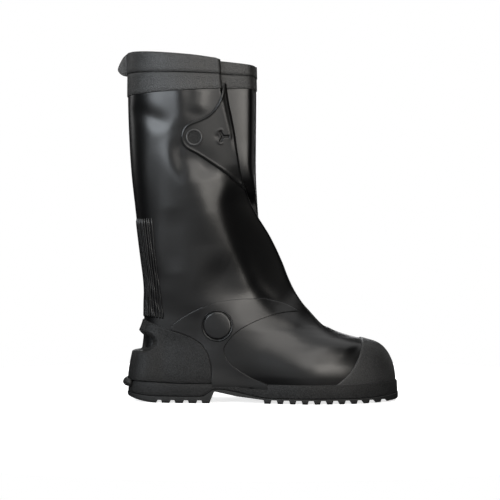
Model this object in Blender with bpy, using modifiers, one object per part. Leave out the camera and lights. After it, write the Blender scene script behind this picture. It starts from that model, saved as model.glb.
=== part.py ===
"""Black moulded pull-on overshoe, about 17 in high, right foot.

Metres, +Z up, toe towards +X, outer side towards -Y.
The tables are in millimetres, with x = 0 near the middle of the foot and y = 0 on the last's
middle line; each mesh is moved to the middle of the plan and scaled when it is made.
"""
import math

import bmesh
import bpy
from mathutils import Vector

MM = 0.001

# Driving sizes, in millimetres.
GAP = 0.3
WALL = 2.2
HEEL_END = -161.8
TOE_END = 174.3
LEDGE_HEEL = 8.0
LEDGE_FORE = 6.2
ARCH_TOP = 17.0
LUG_DEPTH = 4.5
LUG_PITCH = 14.9
LUG_FIRST = 11.7
LUG_FOOT = 6.0
LUG_ROOT = 8.8
LUG_COUNT = 10
HEEL_NOTCH_PITCH = 16.4
HEEL_NOTCH_FIRST = -120.8
HEEL_NOTCH_COUNT = 4
HEEL_NOTCH_DEPTH = 3.6
FOXING_TOP = 23.3
FOXING_INSET = 0.8
FOXING_LIFT = 0.45
CAP_THICK = 1.4
SADDLE_THICK = 0.7
CUFF_LOWER_THICK = 0.9
CUFF_UPPER_THICK = 1.5
FLAP_THICK = 2.0
FLAP_LIFT = 0.8
FLAP_ROOT = 6.4
BUTTON_X = -77.2
BUTTON_Z = 322.0
BUTTON_RADIUS = 10.0
DISC_X = -49.6
DISC_Z = 94.2
DISC_RADIUS = 19.4
CAP_X = 55.0
CAP_Z = 85.0
CAP_RADIUS = 73.0
COUNTER_THIN = 1.0
COUNTER_LEDGE = 11.3
SLOT_X = -141.0
SLOT_Z = 74.5
SLOT_RADIUS = 12.5
KICK_Z = 23.7
KICK_RADIUS = 4.8
KICK_SWEEP = 18.0
RIB_COUNT = 12
RIB_SPREAD_LOW = 82.0
RIB_SPREAD_HIGH = 94.0
RIB_BASE = 0.4
RIB_TOP = 1.3
RIM_SIDE = 1.6
RIM_PLEAT = 5.0
CUFF_LOW = (376.0, 383.4)
CUFF_MIDDLE = (403.5, 398.0)
CUFF_RIM = (440.0, 440.0)
CUFF_LIFT = 0.4
SLIT_X = -42.5
SLIT_Z = 323.2

# Sections of the upper, from the feather edge to the rim. Each is a flat oval whose chord runs
# from the back profile to the front profile; heel, waist, ball and toe are half widths.
SECTION_COLUMNS = (
    "back_x", "back_z", "front_x", "front_z", "heel", "waist", "ball", "toe",
    "back_n", "front_n", "swing", "arch",
)
SECTIONS = (
    (-150.5, 17.0, 169.8, 16.0, 39.0, 38.0, 54.0, 54.5, 3.4, 2.8, 6.0, 4.0),
    (-149.8, 32.0, 169.5, 30.0, 40.0, 39.5, 55.5, 55.5, 3.3, 2.8, 6.0, 3.5),
    (-147.6, 47.0, 166.8, 45.0, 39.5, 39.5, 54.0, 54.0, 3.1, 2.8, 6.0, 3.0),
    (-145.0, 60.0, 160.0, 59.5, 38.5, 39.0, 50.5, 50.5, 2.9, 2.7, 5.5, 2.5),
    (-143.0, 73.0, 149.5, 69.5, 37.5, 38.5, 46.5, 47.0, 2.7, 2.6, 5.0, 2.0),
    (-142.0, 86.0, 131.5, 75.5, 37.5, 38.5, 44.0, 44.0, 2.6, 2.5, 4.0, 1.5),
    (-141.7, 98.0, 110.5, 81.0, 38.0, 39.0, 43.0, 42.0, 2.5, 2.4, 3.0, 1.0),
    (-141.4, 110.0, 88.0, 90.0, 38.5, 40.0, 42.5, 42.0, 2.4, 2.3, 2.0, 0.5),
    (-141.3, 122.0, 57.0, 112.0, 39.5, 41.5, 43.0, 43.0, 2.3, 2.2, 1.0, 0.0),
    (-140.9, 136.0, 32.0, 131.0, 40.5, 42.5, 43.5, 43.5, 2.3, 2.2, 0.0, 0.0),
    (-142.0, 152.0, 17.5, 151.0, 42.0, 44.0, 44.5, 44.5, 2.2, 2.2, 0.0, 0.0),
    (-144.9, 174.0, 9.0, 174.0, 44.0, 45.5, 45.5, 45.5, 2.2, 2.2, 0.0, 0.0),
    (-148.7, 204.0, 3.0, 204.0, 46.0, 47.0, 47.0, 47.0, 2.2, 2.2, 0.0, 0.0),
    (-152.8, 240.0, -0.4, 240.0, 48.0, 48.5, 48.5, 48.5, 2.2, 2.2, 0.0, 0.0),
    (-157.2, 280.0, -2.4, 280.0, 49.5, 50.0, 50.0, 50.0, 2.2, 2.2, 0.0, 0.0),
    (-160.0, 323.0, -2.4, 323.0, 50.5, 51.0, 51.0, 51.0, 2.2, 2.2, 0.0, 0.0),
    (-161.6, 373.0, -2.0, 373.0, 51.5, 52.0, 52.0, 52.0, 2.2, 2.2, 0.0, 0.0),
    (-161.0, 431.4, -3.0, 416.5, 52.0, 52.0, 52.0, 52.0, 2.2, 2.2, 0.0, 0.0),
)

# Folded gusset, a row for each section from the throat up: how far open, the crest of the
# pleat and its radius, the depth of the hidden layer, the way it lies, and where the wall
# leaves and rejoins the oval.
FOLD_FIRST = 7
FOLD_COLUMNS = ("open", "crest_x", "crest_y", "crest_r", "depth", "lie", "leave", "join")
FOLDS = (
    (0.0, 88.0, 0.0, 10.0, 2.0, 30.0, 50.0, -50.0),
    (1.0, 62.0, -4.0, 9.0, 6.0, 30.0, 50.0, -36.0),
    (1.0, 47.5, -7.0, 8.0, 13.0, 30.0, 50.0, -20.0),
    (1.0, 37.5, -10.0, 7.0, 18.0, 28.0, 52.0, -8.0),
    (1.0, 28.6, -14.0, 6.0, 22.0, 24.0, 55.0, 3.0),
    (1.0, 13.8, -20.0, 5.0, 25.0, 18.0, 60.0, 12.0),
    (1.0, -6.0, -33.0, 4.0, 28.0, 12.0, 67.0, 28.0),
    (1.0, -21.0, -41.0, 3.4, 30.0, 6.0, 76.0, 36.0),
    (1.0, -32.0, -44.5, 3.2, 31.0, 3.0, 83.0, 40.0),
    (1.0, -43.0, -46.5, 3.2, 32.0, 1.0, 88.0, 43.0),
    (1.0, -47.5, -46.5, 3.2, 32.0, 0.0, 90.0, 43.0),
)
FOLD_POCKET = 1.1
FOLD_POINTS = 16
PLAIN_POINTS = 34
RIM_ROW = len(SECTIONS) - 1
UPPER_ROWS = (0, 1, 2, 3, 4, 5, 6, 7, 7.5, 8, 9, 10, 11, 12, 13, 14, 15, 16, 17)

# Side outlines, each point an x and a z.
FLAP_OUTLINE = (
    (-41.8, 388.0), (-44.8, 373.9), (-50.3, 361.6), (-58.7, 351.5), (-71.1, 344.7),
    (-83.4, 339.8), (-90.4, 333.8), (-93.5, 325.0), (-92.7, 316.0), (-87.0, 308.5),
    (-74.1, 301.3), (-57.2, 290.5), (-37.1, 276.6), (-14.8, 258.1),
    (-20.1, 276.9), (-24.7, 304.7), (-29.3, 335.3), (-35.6, 366.4), (-38.5, 388.0),
)
SADDLE_NOSE = (
    (40.0, 111.5), (8.2, 103.8), (-22.0, 89.3), (-36.6, 74.9), (-41.4, 62.8), (-33.0, 47.5),
    (-10.0, 32.0), (3.0, 27.0), (11.0, 24.8),
)
# Front edge of the heel counter in side view, from the foxing up to its top.
COUNTER_EDGE = (
    (-56.6, 25.0), (-56.8, 40.5), (-58.4, 50.3), (-60.9, 58.2), (-64.5, 64.9), (-70.6, 72.2),
    (-82.7, 79.5), (-94.9, 84.1), (-107.0, 87.6), (-119.0, 92.0),
)
ARCH_OUTLINE = ((-60.2, -2.0), (-53.4, 14.6), (-25.0, 8.4), (6.4, 4.5), (8.2, -2.0))
TAB_OUTLINE = (
    (-163.2, 430.0), (-167.5, 425.5), (-172.0, 417.5), (-174.3, 411.0), (-173.0, 407.0),
    (-168.5, 403.5), (-163.2, 402.0),
)


def spline(values, t):
    """Value at t of a smooth curve through values set one step apart."""
    t = min(max(t, 0.0), len(values) - 1.0)
    i = min(int(t), len(values) - 2)
    f = t - i
    a = values[max(i - 1, 0)]
    b = values[i]
    c = values[i + 1]
    d = values[min(i + 2, len(values) - 1)]
    slope_b = 0.5 * (c - a)
    slope_c = 0.5 * (d - b)
    return ((2 * f ** 3 - 3 * f ** 2 + 1) * b + (f ** 3 - 2 * f ** 2 + f) * slope_b
            + (3 * f ** 2 - 2 * f ** 3) * c + (f ** 3 - f ** 2) * slope_c)


def smooth(edge0, edge1, value):
    """Soft step from 0 at edge0 to 1 at edge1."""
    t = min(max((value - edge0) / (edge1 - edge0), 0.0), 1.0)
    return t * t * (3.0 - 2.0 * t)


def mix(a, b, f):
    return a + (b - a) * f


def row_at(columns, rows, t):
    """All columns of a table, at a place t between its rows."""
    return {name: spline([row[i] for row in rows], t) for i, name in enumerate(columns)}


def ledge_z(x):
    """Height of the outsole's lip, under the foxing."""
    arch = mix(ARCH_TOP, LEDGE_FORE, smooth(-52.0, 16.0, x))
    side = mix(LEDGE_HEEL, arch, smooth(-70.0, -52.0, x))
    toe = 4.6 * max((x - 112.0) / 62.0, 0.0) ** 2
    heel = 4.0 * max((-120.0 - x) / 42.0, 0.0) ** 2
    return side + toe + heel


def footbed_z(x):
    """Height of the inside of the sole."""
    bed = mix(18.0, 20.0, smooth(-110.0, -58.0, x))
    bed = mix(bed, 11.5, smooth(-50.0, 50.0, x))
    return bed + 6.0 * max((x - 112.0) / 62.0, 0.0) ** 2


def tread_z(x):
    """Height of the tread's underside, with the heel and toe turned up."""
    toe = 2.6 * max((x - 112.0) / 62.0, 0.0) ** 2
    heel = 7.0 * max((-124.0 - x) / 38.0, 0.0) ** 2
    return toe + heel


def foxing_top_z(x):
    return FOXING_TOP + 1.2 * smooth(-120.0, -160.0, x) + 1.6 * smooth(120.0, 170.0, x)


def half_width(s, u, inner):
    """Half width along a chord; the inner side is pulled in at the arch."""
    w = mix(s["heel"], s["waist"], smooth(0.14, 0.42, u))
    w = mix(w, s["ball"], smooth(0.42, 0.70, u))
    w = mix(w, s["toe"], smooth(0.70, 0.95, u))
    if inner:
        w -= s["arch"] * smooth(0.15, 0.42, u) * smooth(0.68, 0.42, u)
    return w


def oval_xy(s, degrees):
    """Point of a section's oval: 0 degrees at the front, 90 on the outer side."""
    c = math.cos(math.radians(degrees))
    q = math.sin(math.radians(degrees))
    n = s["front_n"] if c > 0.0 else s["back_n"]
    reach = math.copysign(abs(c) ** 0.909, c)
    u = 0.5 + 0.5 * reach
    bend = s["swing"] * (6.24 * u ** 3 - 5.24 * u ** 2)
    half = half_width(s, u, q < 0.0) * max(1.0 - abs(reach) ** n, 0.0) ** (1.0 / n)
    return Vector((mix(s["back_x"], s["front_x"], u), bend - math.copysign(half, q)))


def lift(s, v, point):
    """Put a flat section point at its height on the section's chord."""
    f = (point.x - s["back_x"]) / (s["front_x"] - s["back_x"])
    z = mix(s["back_z"], s["front_z"], f)
    if v < 1.0:
        z = mix(footbed_z(point.x) + GAP, z, v)
    return Vector((point.x, point.y, z))


def fold_at(v):
    return row_at(FOLD_COLUMNS, FOLDS, max(v - FOLD_FIRST, 0.0))


def bend_curve(p0, d0, p1, d1, f):
    """Point at f of a curve that leaves p0 along d0 and reaches p1 along d1."""
    return ((2 * f ** 3 - 3 * f ** 2 + 1) * p0 + (f ** 3 - 2 * f ** 2 + f) * d0
            + (3 * f ** 2 - 2 * f ** 3) * p1 + (f ** 3 - f ** 2) * d1)


def heading(s, degrees):
    """Way the oval runs, towards the front and on to the inner side."""
    return (oval_xy(s, degrees - 1.0) - oval_xy(s, degrees + 1.0)).normalized()


def fold_points(s, g):
    """Wall of the pleat: outer layer, crest, middle layer, inner turn, inner layer."""
    lie = math.radians(g["lie"])
    along = Vector((math.cos(lie), math.sin(lie)))
    inward = Vector((-along.y, along.x))
    r = g["crest_r"]
    centre = Vector((g["crest_x"], g["crest_y"])) - r * along
    leave = oval_xy(s, g["leave"])
    join = oval_xy(s, g["join"])
    start = centre - r * inward
    reach = (start - leave).length
    points = [bend_curve(leave, heading(s, g["leave"]) * reach, start, along * reach, f)
              for f in (0.0, 0.33, 0.67)]
    for turn in (-90.0, -45.0, 0.0, 45.0, 90.0):
        a = math.radians(turn)
        points.append(centre + r * (math.cos(a) * along + math.sin(a) * inward))
    deep = points[-1] - g["depth"] * along
    points.append((points[-1] + deep) * 0.5)
    points.append(deep)
    points.append(deep + FOLD_POCKET * (inward - along))
    inner = deep + 2.0 * FOLD_POCKET * inward
    reach = (join - inner).length
    points += [bend_curve(inner, along * reach, join, heading(s, g["join"]) * reach, f)
               for f in (0.0, 0.3, 0.62, 0.82, 1.0)]
    return points


def ring(v):
    """Closed loop of the upper's outer face at row v, counter-clockwise from above."""
    s = row_at(SECTION_COLUMNS, SECTIONS, v)
    g = fold_at(v)
    steps = FOLD_POINTS - 1
    flat = [oval_xy(s, mix(g["leave"], g["join"], i / steps)) for i in range(FOLD_POINTS)]
    if g["open"] > 0.0:
        folded = fold_points(s, g)
        flat = [mix(a, b, min(g["open"], 1.0) ** 0.6) for a, b in zip(flat, folded)]
    sweep = 360.0 - g["leave"] + g["join"]
    flat += [oval_xy(s, g["join"] - sweep * (i + 1) / (PLAIN_POINTS + 1))
             for i in range(PLAIN_POINTS)]
    return [lift(s, v, p) - Vector((0.0, 0.0, rim_dip(v, j))) for j, p in enumerate(flat)]


def rim_dip(v, j):
    """Sag of the rim on the outer side, most where the pleat draws it down."""
    back = FOLD_POINTS + PLAIN_POINTS // 2
    if j >= FOLD_POINTS + 4:
        sag = RIM_SIDE * smooth(back, back + 7, j)
    else:
        sag = RIM_SIDE + (RIM_PLEAT - RIM_SIDE) * smooth(0.0, 8.0, j)
        sag *= smooth(FOLD_POINTS + 4, FOLD_POINTS - 3, j)
    return sag * max(v - RIM_ROW + 1.0, 0.0)


def row_for(x, z):
    """Row whose chord passes through a side-view point."""
    low = 0.0
    high = float(RIM_ROW)
    for _ in range(40):
        v = 0.5 * (low + high)
        s = row_at(SECTION_COLUMNS, SECTIONS, v)
        if lift(s, v, Vector((x, 0.0))).z < z:
            low = v
        else:
            high = v
    return 0.5 * (low + high)


def outer_side(x, z):
    """Outer-side y of the upper's wall at a side-view point behind the pleat's crest."""
    v = row_for(x, z)
    loop = ring(v)
    path = loop[FOLD_POINTS + PLAIN_POINTS // 2:] + loop[0:4]
    for a, b in zip(path, path[1:]):
        if a.x <= x <= b.x:
            return mix(a.y, b.y, (x - a.x) / (b.x - a.x))
    return path[-1].y


LOOPS = [ring(v) for v in UPPER_ROWS]
LOOP_COUNT = FOLD_POINTS + PLAIN_POINTS


def loop_normal(r, j):
    """Outward normal of the upper at a loop's point."""
    low = LOOPS[max(r - 1, 0)][j]
    high = LOOPS[min(r + 1, len(LOOPS) - 1)][j]
    around = LOOPS[r][(j + 1) % LOOP_COUNT] - LOOPS[r][j - 1]
    return around.cross(high - low).normalized()


def skin(v, column, offset):
    """Point over the upper's faces at row v and a column, lifted along the normal."""
    r = max(i for i, row in enumerate(UPPER_ROWS[:-1]) if row <= v)
    f = (v - UPPER_ROWS[r]) / (UPPER_ROWS[r + 1] - UPPER_ROWS[r])
    j = int(math.floor(column))
    g = column - j
    corners = [(r, j, (1 - f) * (1 - g)), (r, j + 1, (1 - f) * g),
               (r + 1, j, f * (1 - g)), (r + 1, j + 1, f * g)]
    place = Vector((0.0, 0.0, 0.0))
    normal = Vector((0.0, 0.0, 0.0))
    for row, col, weight in corners:
        place += LOOPS[row][col % LOOP_COUNT] * weight
        normal += loop_normal(row, col % LOOP_COUNT) * weight
    return place + normal.normalized() * offset


def skin_patch(name, rows, columns, low, thick, home, finish):
    """Overlay solid that follows the upper; thick is a thickness or a function of a point."""
    inner = [[skin(v, c, low) for c in columns] for v in rows]
    if not callable(thick):
        outer = [[skin(v, c, low + thick) for c in columns] for v in rows]
    else:
        outer = [[skin(v, c, low + thick(skin(v, c, 0.0))) for c in columns] for v in rows]
    return patch_solid(name, inner, outer, home, finish)


def sole_xy(degrees, inset):
    """Sole outline, drawn in by an inset."""
    s = {
        "back_x": HEEL_END + inset, "front_x": TOE_END - inset,
        "heel": 43.5 - inset, "waist": 42.5 - inset, "ball": 58.5 - inset,
        "toe": 59.5 - inset, "back_n": 3.4, "front_n": 2.8, "swing": 6.0, "arch": 4.0,
    }
    return oval_xy(s, degrees)


def loop_angles():
    """Angles round the foot, alike for the sole, the foxing and the upper's lower loops."""
    g = fold_at(0.0)
    steps = FOLD_POINTS - 1
    angles = [mix(g["leave"], g["join"], i / steps) for i in range(FOLD_POINTS)]
    sweep = 360.0 - g["leave"] + g["join"]
    return angles + [g["join"] - sweep * (i + 1) / (PLAIN_POINTS + 1)
                     for i in range(PLAIN_POINTS)]


def plan_middle():
    """Middle of the plan, from the tip of the pull tab to the toe and across the sole."""
    outline = [sole_xy(a, 0.0) for a in loop_angles()]
    xs = [p.x for p in outline] + [x for x, _ in TAB_OUTLINE]
    ys = [p.y for p in outline]
    return Vector(((min(xs) + max(xs)) / 2.0, (min(ys) + max(ys)) / 2.0, 0.0))


MIDDLE = plan_middle()


def material(name, grey, roughness):
    m = bpy.data.materials.new(name)
    m.use_nodes = True
    shader = m.node_tree.nodes["Principled BSDF"]
    shader.inputs["Base Color"].default_value = (grey, grey, grey, 1.0)
    shader.inputs["Roughness"].default_value = roughness
    return m


def mesh_object(name, points, faces, home, finish=None):
    mesh = bpy.data.meshes.new(name)
    mesh.from_pydata([(p - MIDDLE) * MM for p in points], [], faces)
    mesh.validate()
    if finish:
        mesh.materials.append(finish)
    thing = bpy.data.objects.new(name, mesh)
    home.objects.link(thing)
    return thing


def loop_faces(rings, points):
    """Quads between closed loops that are stacked in order."""
    return [(r * points + j, r * points + (j + 1) % points,
             (r + 1) * points + (j + 1) % points, (r + 1) * points + j)
            for r in range(rings - 1) for j in range(points)]


def patch_solid(name, inner, outer, home, finish):
    """Closed solid between two matching grids of rows, the outer one facing out."""
    rows = len(inner)
    cols = len(inner[0])
    points = [p for row in outer for p in row] + [p for row in inner for p in row]
    back = rows * cols
    faces = []
    for r in range(rows - 1):
        for c in range(cols - 1):
            a = r * cols + c
            for face in ((a, a + 1, a + cols + 1), (a, a + cols + 1, a + cols)):
                faces.append(face)
                faces.append(tuple(back + i for i in reversed(face)))
    edge = [c for c in range(cols)]
    edge += [r * cols + cols - 1 for r in range(1, rows)]
    edge += [(rows - 1) * cols + c for c in range(cols - 2, -1, -1)]
    edge += [r * cols for r in range(rows - 2, 0, -1)]
    for a, b in zip(edge, edge[1:] + edge[:1]):
        faces.append((b, a, back + a, back + b))
    return mesh_object(name, points, faces, home, finish)


def side_prism(name, outline, home, y0=-120.0, y1=120.0):
    """Side-view outline drawn out along Y."""
    bm = bmesh.new()
    face = bm.faces.new([bm.verts.new((Vector((x, y0, z)) - MIDDLE) * MM) for x, z in outline])
    made = bmesh.ops.extrude_face_region(bm, geom=[face])
    moved = [e for e in made["geom"] if isinstance(e, bmesh.types.BMVert)]
    bmesh.ops.translate(bm, vec=Vector((0.0, (y1 - y0) * MM, 0.0)), verts=moved)
    bmesh.ops.recalc_face_normals(bm, faces=bm.faces)
    mesh = bpy.data.meshes.new(name)
    bm.to_mesh(mesh)
    bm.free()
    thing = bpy.data.objects.new(name, mesh)
    home.objects.link(thing)
    return thing


def curve_through(points, steps):
    """Smooth open line through side-view points."""
    xs = [p[0] for p in points]
    zs = [p[1] for p in points]
    count = (len(points) - 1) * steps
    return [(spline(xs, i / steps), spline(zs, i / steps)) for i in range(count + 1)]


def cut(thing, cutter, operation):
    m = thing.modifiers.new(operation.title(), "BOOLEAN")
    m.operation = operation
    m.solver = "EXACT"
    m.object = cutter
    cutter.hide_render = True
    cutter.display_type = "WIRE"


def cap_faces(first, up):
    """Rungs across a loop, between its outer-side and inner-side points."""
    half = FOLD_POINTS // 2
    count = FOLD_POINTS + PLAIN_POINTS
    pairs = [(half - 1 - k, half + k) for k in range(half)]
    pairs += [(count - 1 - k, FOLD_POINTS + k) for k in range(PLAIN_POINTS // 2)]
    faces = []
    for (a, b), (c, d) in zip(pairs, pairs[1:]):
        rung = (first + a, first + b, first + d, first + c)
        faces.append(rung if up else tuple(reversed(rung)))
    return faces


def outsole(parts, cutters):
    """Lip, core and tread in one block, cut by the arch and the gaps between the lugs."""
    angles = loop_angles()
    count = len(angles)
    outer = [sole_xy(a, 0.0) for a in angles]
    inset = [sole_xy(a, 1.6) for a in angles]
    core = ring(0.0)
    rings = [
        [Vector((p.x, p.y, tread_z(o.x))) for p, o in zip(inset, outer)],
        [Vector((o.x, o.y, tread_z(o.x) + 1.8)) for o in outer],
        [Vector((o.x, o.y, ledge_z(o.x))) for o in outer],
        [Vector((p.x, p.y, ledge_z(o.x))) for p, o in zip(core, outer)],
        [Vector((p.x, p.y, footbed_z(p.x))) for p in core],
    ]
    faces = loop_faces(len(rings), count)
    faces += cap_faces(0, False)
    faces += cap_faces((len(rings) - 1) * count, True)
    points = [p for r in rings for p in r]
    sole = mesh_object("outsole", points, faces, parts, material("sole_rubber", 0.03, 0.6))

    arch = side_prism("arch_cut", ARCH_OUTLINE, cutters)
    cut(sole, arch, "DIFFERENCE")
    for i in range(LUG_COUNT):
        x = LUG_FIRST + LUG_PITCH * (i + 0.5)
        narrow = 0.5 * (LUG_PITCH - LUG_ROOT)
        slope = 0.5 * (LUG_ROOT - LUG_FOOT) / LUG_DEPTH
        roof = LUG_DEPTH + tread_z(x)
        foot = narrow + slope * (roof + 2.0)
        gap = ((x - foot, -2.0), (x - narrow, roof), (x + narrow, roof), (x + foot, -2.0))
        cut(sole, side_prism("lug_gap_%d" % i, gap, cutters), "DIFFERENCE")
    for i in range(HEEL_NOTCH_COUNT):
        x = HEEL_NOTCH_FIRST + HEEL_NOTCH_PITCH * i
        notch = ((x - 4.0, -2.0), (x - 2.6, HEEL_NOTCH_DEPTH), (x + 2.6, HEEL_NOTCH_DEPTH),
                 (x + 4.0, -2.0))
        cut(sole, side_prism("heel_notch_%d" % i, notch, cutters), "DIFFERENCE")


def upper(parts):
    """Hollow wall of foot and shaft with the folded gusset."""
    rings = LOOPS
    points = [p for r in rings for p in r]
    quads = loop_faces(len(rings), LOOP_COUNT)
    faces = [(a, b, c) for a, b, c, d in quads] + [(a, c, d) for a, b, c, d in quads]
    wall = mesh_object("upper", points, faces, parts, material("smooth_pvc", 0.02, 0.35))
    shell = wall.modifiers.new("Wall", "SOLIDIFY")
    shell.thickness = WALL * MM
    shell.offset = -1.0
    shell.use_quality_normals = True


def grow(loop, distance):
    """Loop moved outward in plan by a distance."""
    count = len(loop)
    grown = []
    for i, p in enumerate(loop):
        run = loop[(i + 1) % count] - loop[i - 1]
        out = Vector((run.y, -run.x, 0.0)).normalized()
        grown.append(p + out * distance)
    return grown


def foxing_band(parts):
    """Side band between the outsole's lip and the lower edge of the overlays."""
    angles = loop_angles()
    count = len(angles)
    lip = [sole_xy(a, 0.0) for a in angles]
    side_low = [sole_xy(a, FOXING_INSET) for a in angles]
    side_high = [sole_xy(a, FOXING_INSET + 0.5) for a in angles]
    foot = ring(0.0)
    knee = ring(1.0)
    wall = [a + (b - a) * ((foxing_top_z(a.x) - a.z) / (b.z - a.z)) for a, b in zip(foot, knee)]
    foot = grow(foot, FOXING_LIFT)
    wall = grow(wall, FOXING_LIFT)
    rings = [
        [Vector((p.x, p.y, ledge_z(o.x) + FOXING_LIFT)) for p, o in zip(foot, lip)],
        [Vector((p.x, p.y, ledge_z(o.x) + FOXING_LIFT)) for p, o in zip(side_low, lip)],
        [Vector((p.x, p.y, w.z - 1.0)) for p, w in zip(side_high, wall)],
        [Vector((mix(p.x, w.x, 0.25), mix(p.y, w.y, 0.25), w.z))
         for p, w in zip(side_high, wall)],
        wall,
        foot,
    ]
    faces = loop_faces(len(rings) - 1, count)
    last = (len(rings) - 1) * count
    for j in range(count):
        k = (j + 1) % count
        faces.append((last + j, last + k, k, j))
        faces.append((last - count + k, last + k, last + j))
        faces.append((last - count + j, last - count + k, last + j))
    mesh_object("foxing_band", [p for r in rings for p in r], faces, parts,
                material("foxing_grain", 0.04, 0.7))


def counter_front(offset):
    """Front edge of the heel counter, from the foxing up to its top, moved forward by offset."""
    line = []
    for k, (x, z) in enumerate(COUNTER_EDGE):
        x0, z0 = COUNTER_EDGE[max(k - 1, 0)]
        x1, z1 = COUNTER_EDGE[min(k + 1, len(COUNTER_EDGE) - 1)]
        reach = math.hypot(x1 - x0, z1 - z0)
        line.append((x + offset * (z1 - z0) / reach, z - offset * (x1 - x0) / reach))
    return line


def foxing_line(x0, x1, count):
    """Upper edge of the foxing, with the clearance above it."""
    xs = [mix(x0, x1, i / count) for i in range(count + 1)]
    return [(x, foxing_top_z(x) + GAP) for x in xs]


def toe_cap(parts, cutters):
    finish = material("cap_grain", 0.04, 0.7)
    columns = list(range(-4, FOLD_POINTS + 4))
    cap = skin_patch("toe_cap", (0.4, 1, 2, 3, 4, 5, 5.5), columns, GAP, CAP_THICK, parts, finish)
    arc = [(CAP_X + CAP_RADIUS * math.cos(math.radians(a)),
            CAP_Z + CAP_RADIUS * math.sin(math.radians(a))) for a in range(10, -55, -8)]
    outline = arc + foxing_line(arc[-1][0] + 1.0, 185.0, 12) + [(185.0, 100.0)]
    cut(cap, side_prism("cap_form", outline, cutters), "INTERSECT")


def counter_thick(point):
    """Counter thickness: thin on the sides, a deep ledge at the back of the heel."""
    back = smooth(-112.0, -146.0, point.x)
    return COUNTER_THIN + (COUNTER_LEDGE - COUNTER_THIN) * back * smooth(106.0, 68.0, point.z)


def heel_counter(parts, cutters):
    finish = material("counter_grain", 0.04, 0.7)
    columns = range(FOLD_POINTS + 6, FOLD_POINTS + PLAIN_POINTS - 6)
    counter = skin_patch("heel_counter", (0.4, 1, 2, 3, 4, 5, 6, 6.7), list(columns), GAP,
                         counter_thick, parts, finish)
    outline = foxing_line(-185.0, COUNTER_EDGE[0][0], 12) + counter_front(0.0)
    outline += [(-132.0, 97.5), (-141.0, 101.0), (-185.0, 104.0)]
    cut(counter, side_prism("counter_form", outline, cutters), "INTERSECT")
    slot = [(-185.0, 88.5), (-150.0, 87.5)]
    slot += [(SLOT_X + SLOT_RADIUS * math.sin(math.radians(a)),
              SLOT_Z + SLOT_RADIUS * math.cos(math.radians(a))) for a in range(0, 181, 18)]
    slot += [(-152.0, 61.0), (-185.0, 59.0)]
    cut(counter, side_prism("counter_slot", slot, cutters), "DIFFERENCE")


def kick_lug(parts):
    """Half-round bar across the back of the heel."""
    stations = [180.0 + KICK_SWEEP * (i / 4.0 - 1.0) for i in range(9)]
    base = [sole_xy(-a, -1.3) for a in stations]
    rings = []
    for i, p in enumerate(base):
        run = base[min(i + 1, 8)] - base[max(i - 1, 0)]
        out = Vector((run.y, -run.x)).normalized()
        size = KICK_RADIUS * (0.55 if i in (0, 8) else 1.0)
        arc = []
        for a in range(-90, 91, 30):
            reach = size * math.cos(math.radians(a))
            height = size * math.sin(math.radians(a))
            arc.append(Vector((p.x + out.x * reach, p.y + out.y * reach, KICK_Z + height)))
        rings.append(arc)
    count = len(rings[0])
    faces = loop_faces(len(rings), count)
    faces.append(tuple(range(count)))
    faces.append(tuple((len(rings) - 1) * count + j for j in reversed(range(count))))
    bar = mesh_object("kick_lug", [p for r in rings for p in r], faces, parts,
                      material("kick_pvc", 0.03, 0.4))
    outward(bar)


def outward(thing):
    """Turn all faces of a closed solid outward."""
    bm = bmesh.new()
    bm.from_mesh(thing.data)
    bmesh.ops.recalc_face_normals(bm, faces=bm.faces)
    bm.to_mesh(thing.data)
    bm.free()


def saddle(name, columns, parts, cutters):
    """Low raised ankle panel between the counter, the gusset and the vamp."""
    finish = material(name + "_pvc", 0.02, 0.35)
    rows = (0.4, 1, 2, 3, 4, 5, 6, 7, 7.5, 8, 8.8)
    panel = skin_patch(name, rows, columns, GAP, SADDLE_THICK, parts, finish)
    brow = [-107.0 + 115.0 * i / 12 for i in range(13)]
    outline = [(x, 127.0 - 28.5 * (abs(min(x, 0.0)) / 100.0) ** 2.6) for x in brow]
    outline += [(24.0, 120.5)] + curve_through(SADDLE_NOSE, 3)
    outline += foxing_line(10.5, COUNTER_EDGE[0][0] + GAP, 6) + counter_front(GAP)[1:9]
    cut(panel, side_prism(name + "_form", outline, cutters), "INTERSECT")


def ankle_disc(parts, cutters):
    finish = material("disc_pvc", 0.02, 0.35)
    columns = [LOOP_COUNT - 9 + i for i in range(9)]
    disc = skin_patch("ankle_disc", (3, 4, 5, 6, 7, 7.5, 8), columns,
                      2.0 * GAP + SADDLE_THICK, 1.2, parts, finish)
    round_edge = [(DISC_X + DISC_RADIUS * math.cos(math.radians(a)),
                   DISC_Z + DISC_RADIUS * math.sin(math.radians(a))) for a in range(0, 360, 12)]
    cut(disc, side_prism("disc_form", round_edge, cutters), "INTERSECT")


def back_column(v, degrees):
    """Column of row v that stands at an angle from the middle of the back."""
    g = fold_at(v)
    sweep = 360.0 - g["leave"] + g["join"]
    return FOLD_POINTS - 1 + (g["join"] + 180.0 + degrees) * (PLAIN_POINTS + 1) / sweep


def back_ribs(parts):
    """Panel of upright ribs at the back of the ankle, fanned out a little towards its top."""
    profile = ((0.1, RIB_BASE), (0.3, RIB_TOP), (0.7, RIB_TOP), (0.9, RIB_BASE))
    stations = [((i + share) / RIB_COUNT - 0.5, height)
                for i in range(RIB_COUNT) for share, height in profile]
    rows = (6.75, 7.5, 8, 9, 10, 12, 12.6)
    low = 2.0 * GAP
    inner = []
    outer = []
    for v in rows:
        spread = mix(RIB_SPREAD_LOW, RIB_SPREAD_HIGH, (v - rows[0]) / (rows[-1] - rows[0]))
        columns = [back_column(v, spread * place) for place, _ in stations]
        inner.append([skin(v, c, low) for c in columns])
        outer.append([skin(v, c, low + h) for c, (_, h) in zip(columns, stations)])
    patch_solid("back_ribs", inner, outer, parts, material("rib_pvc", 0.02, 0.4))


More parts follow.
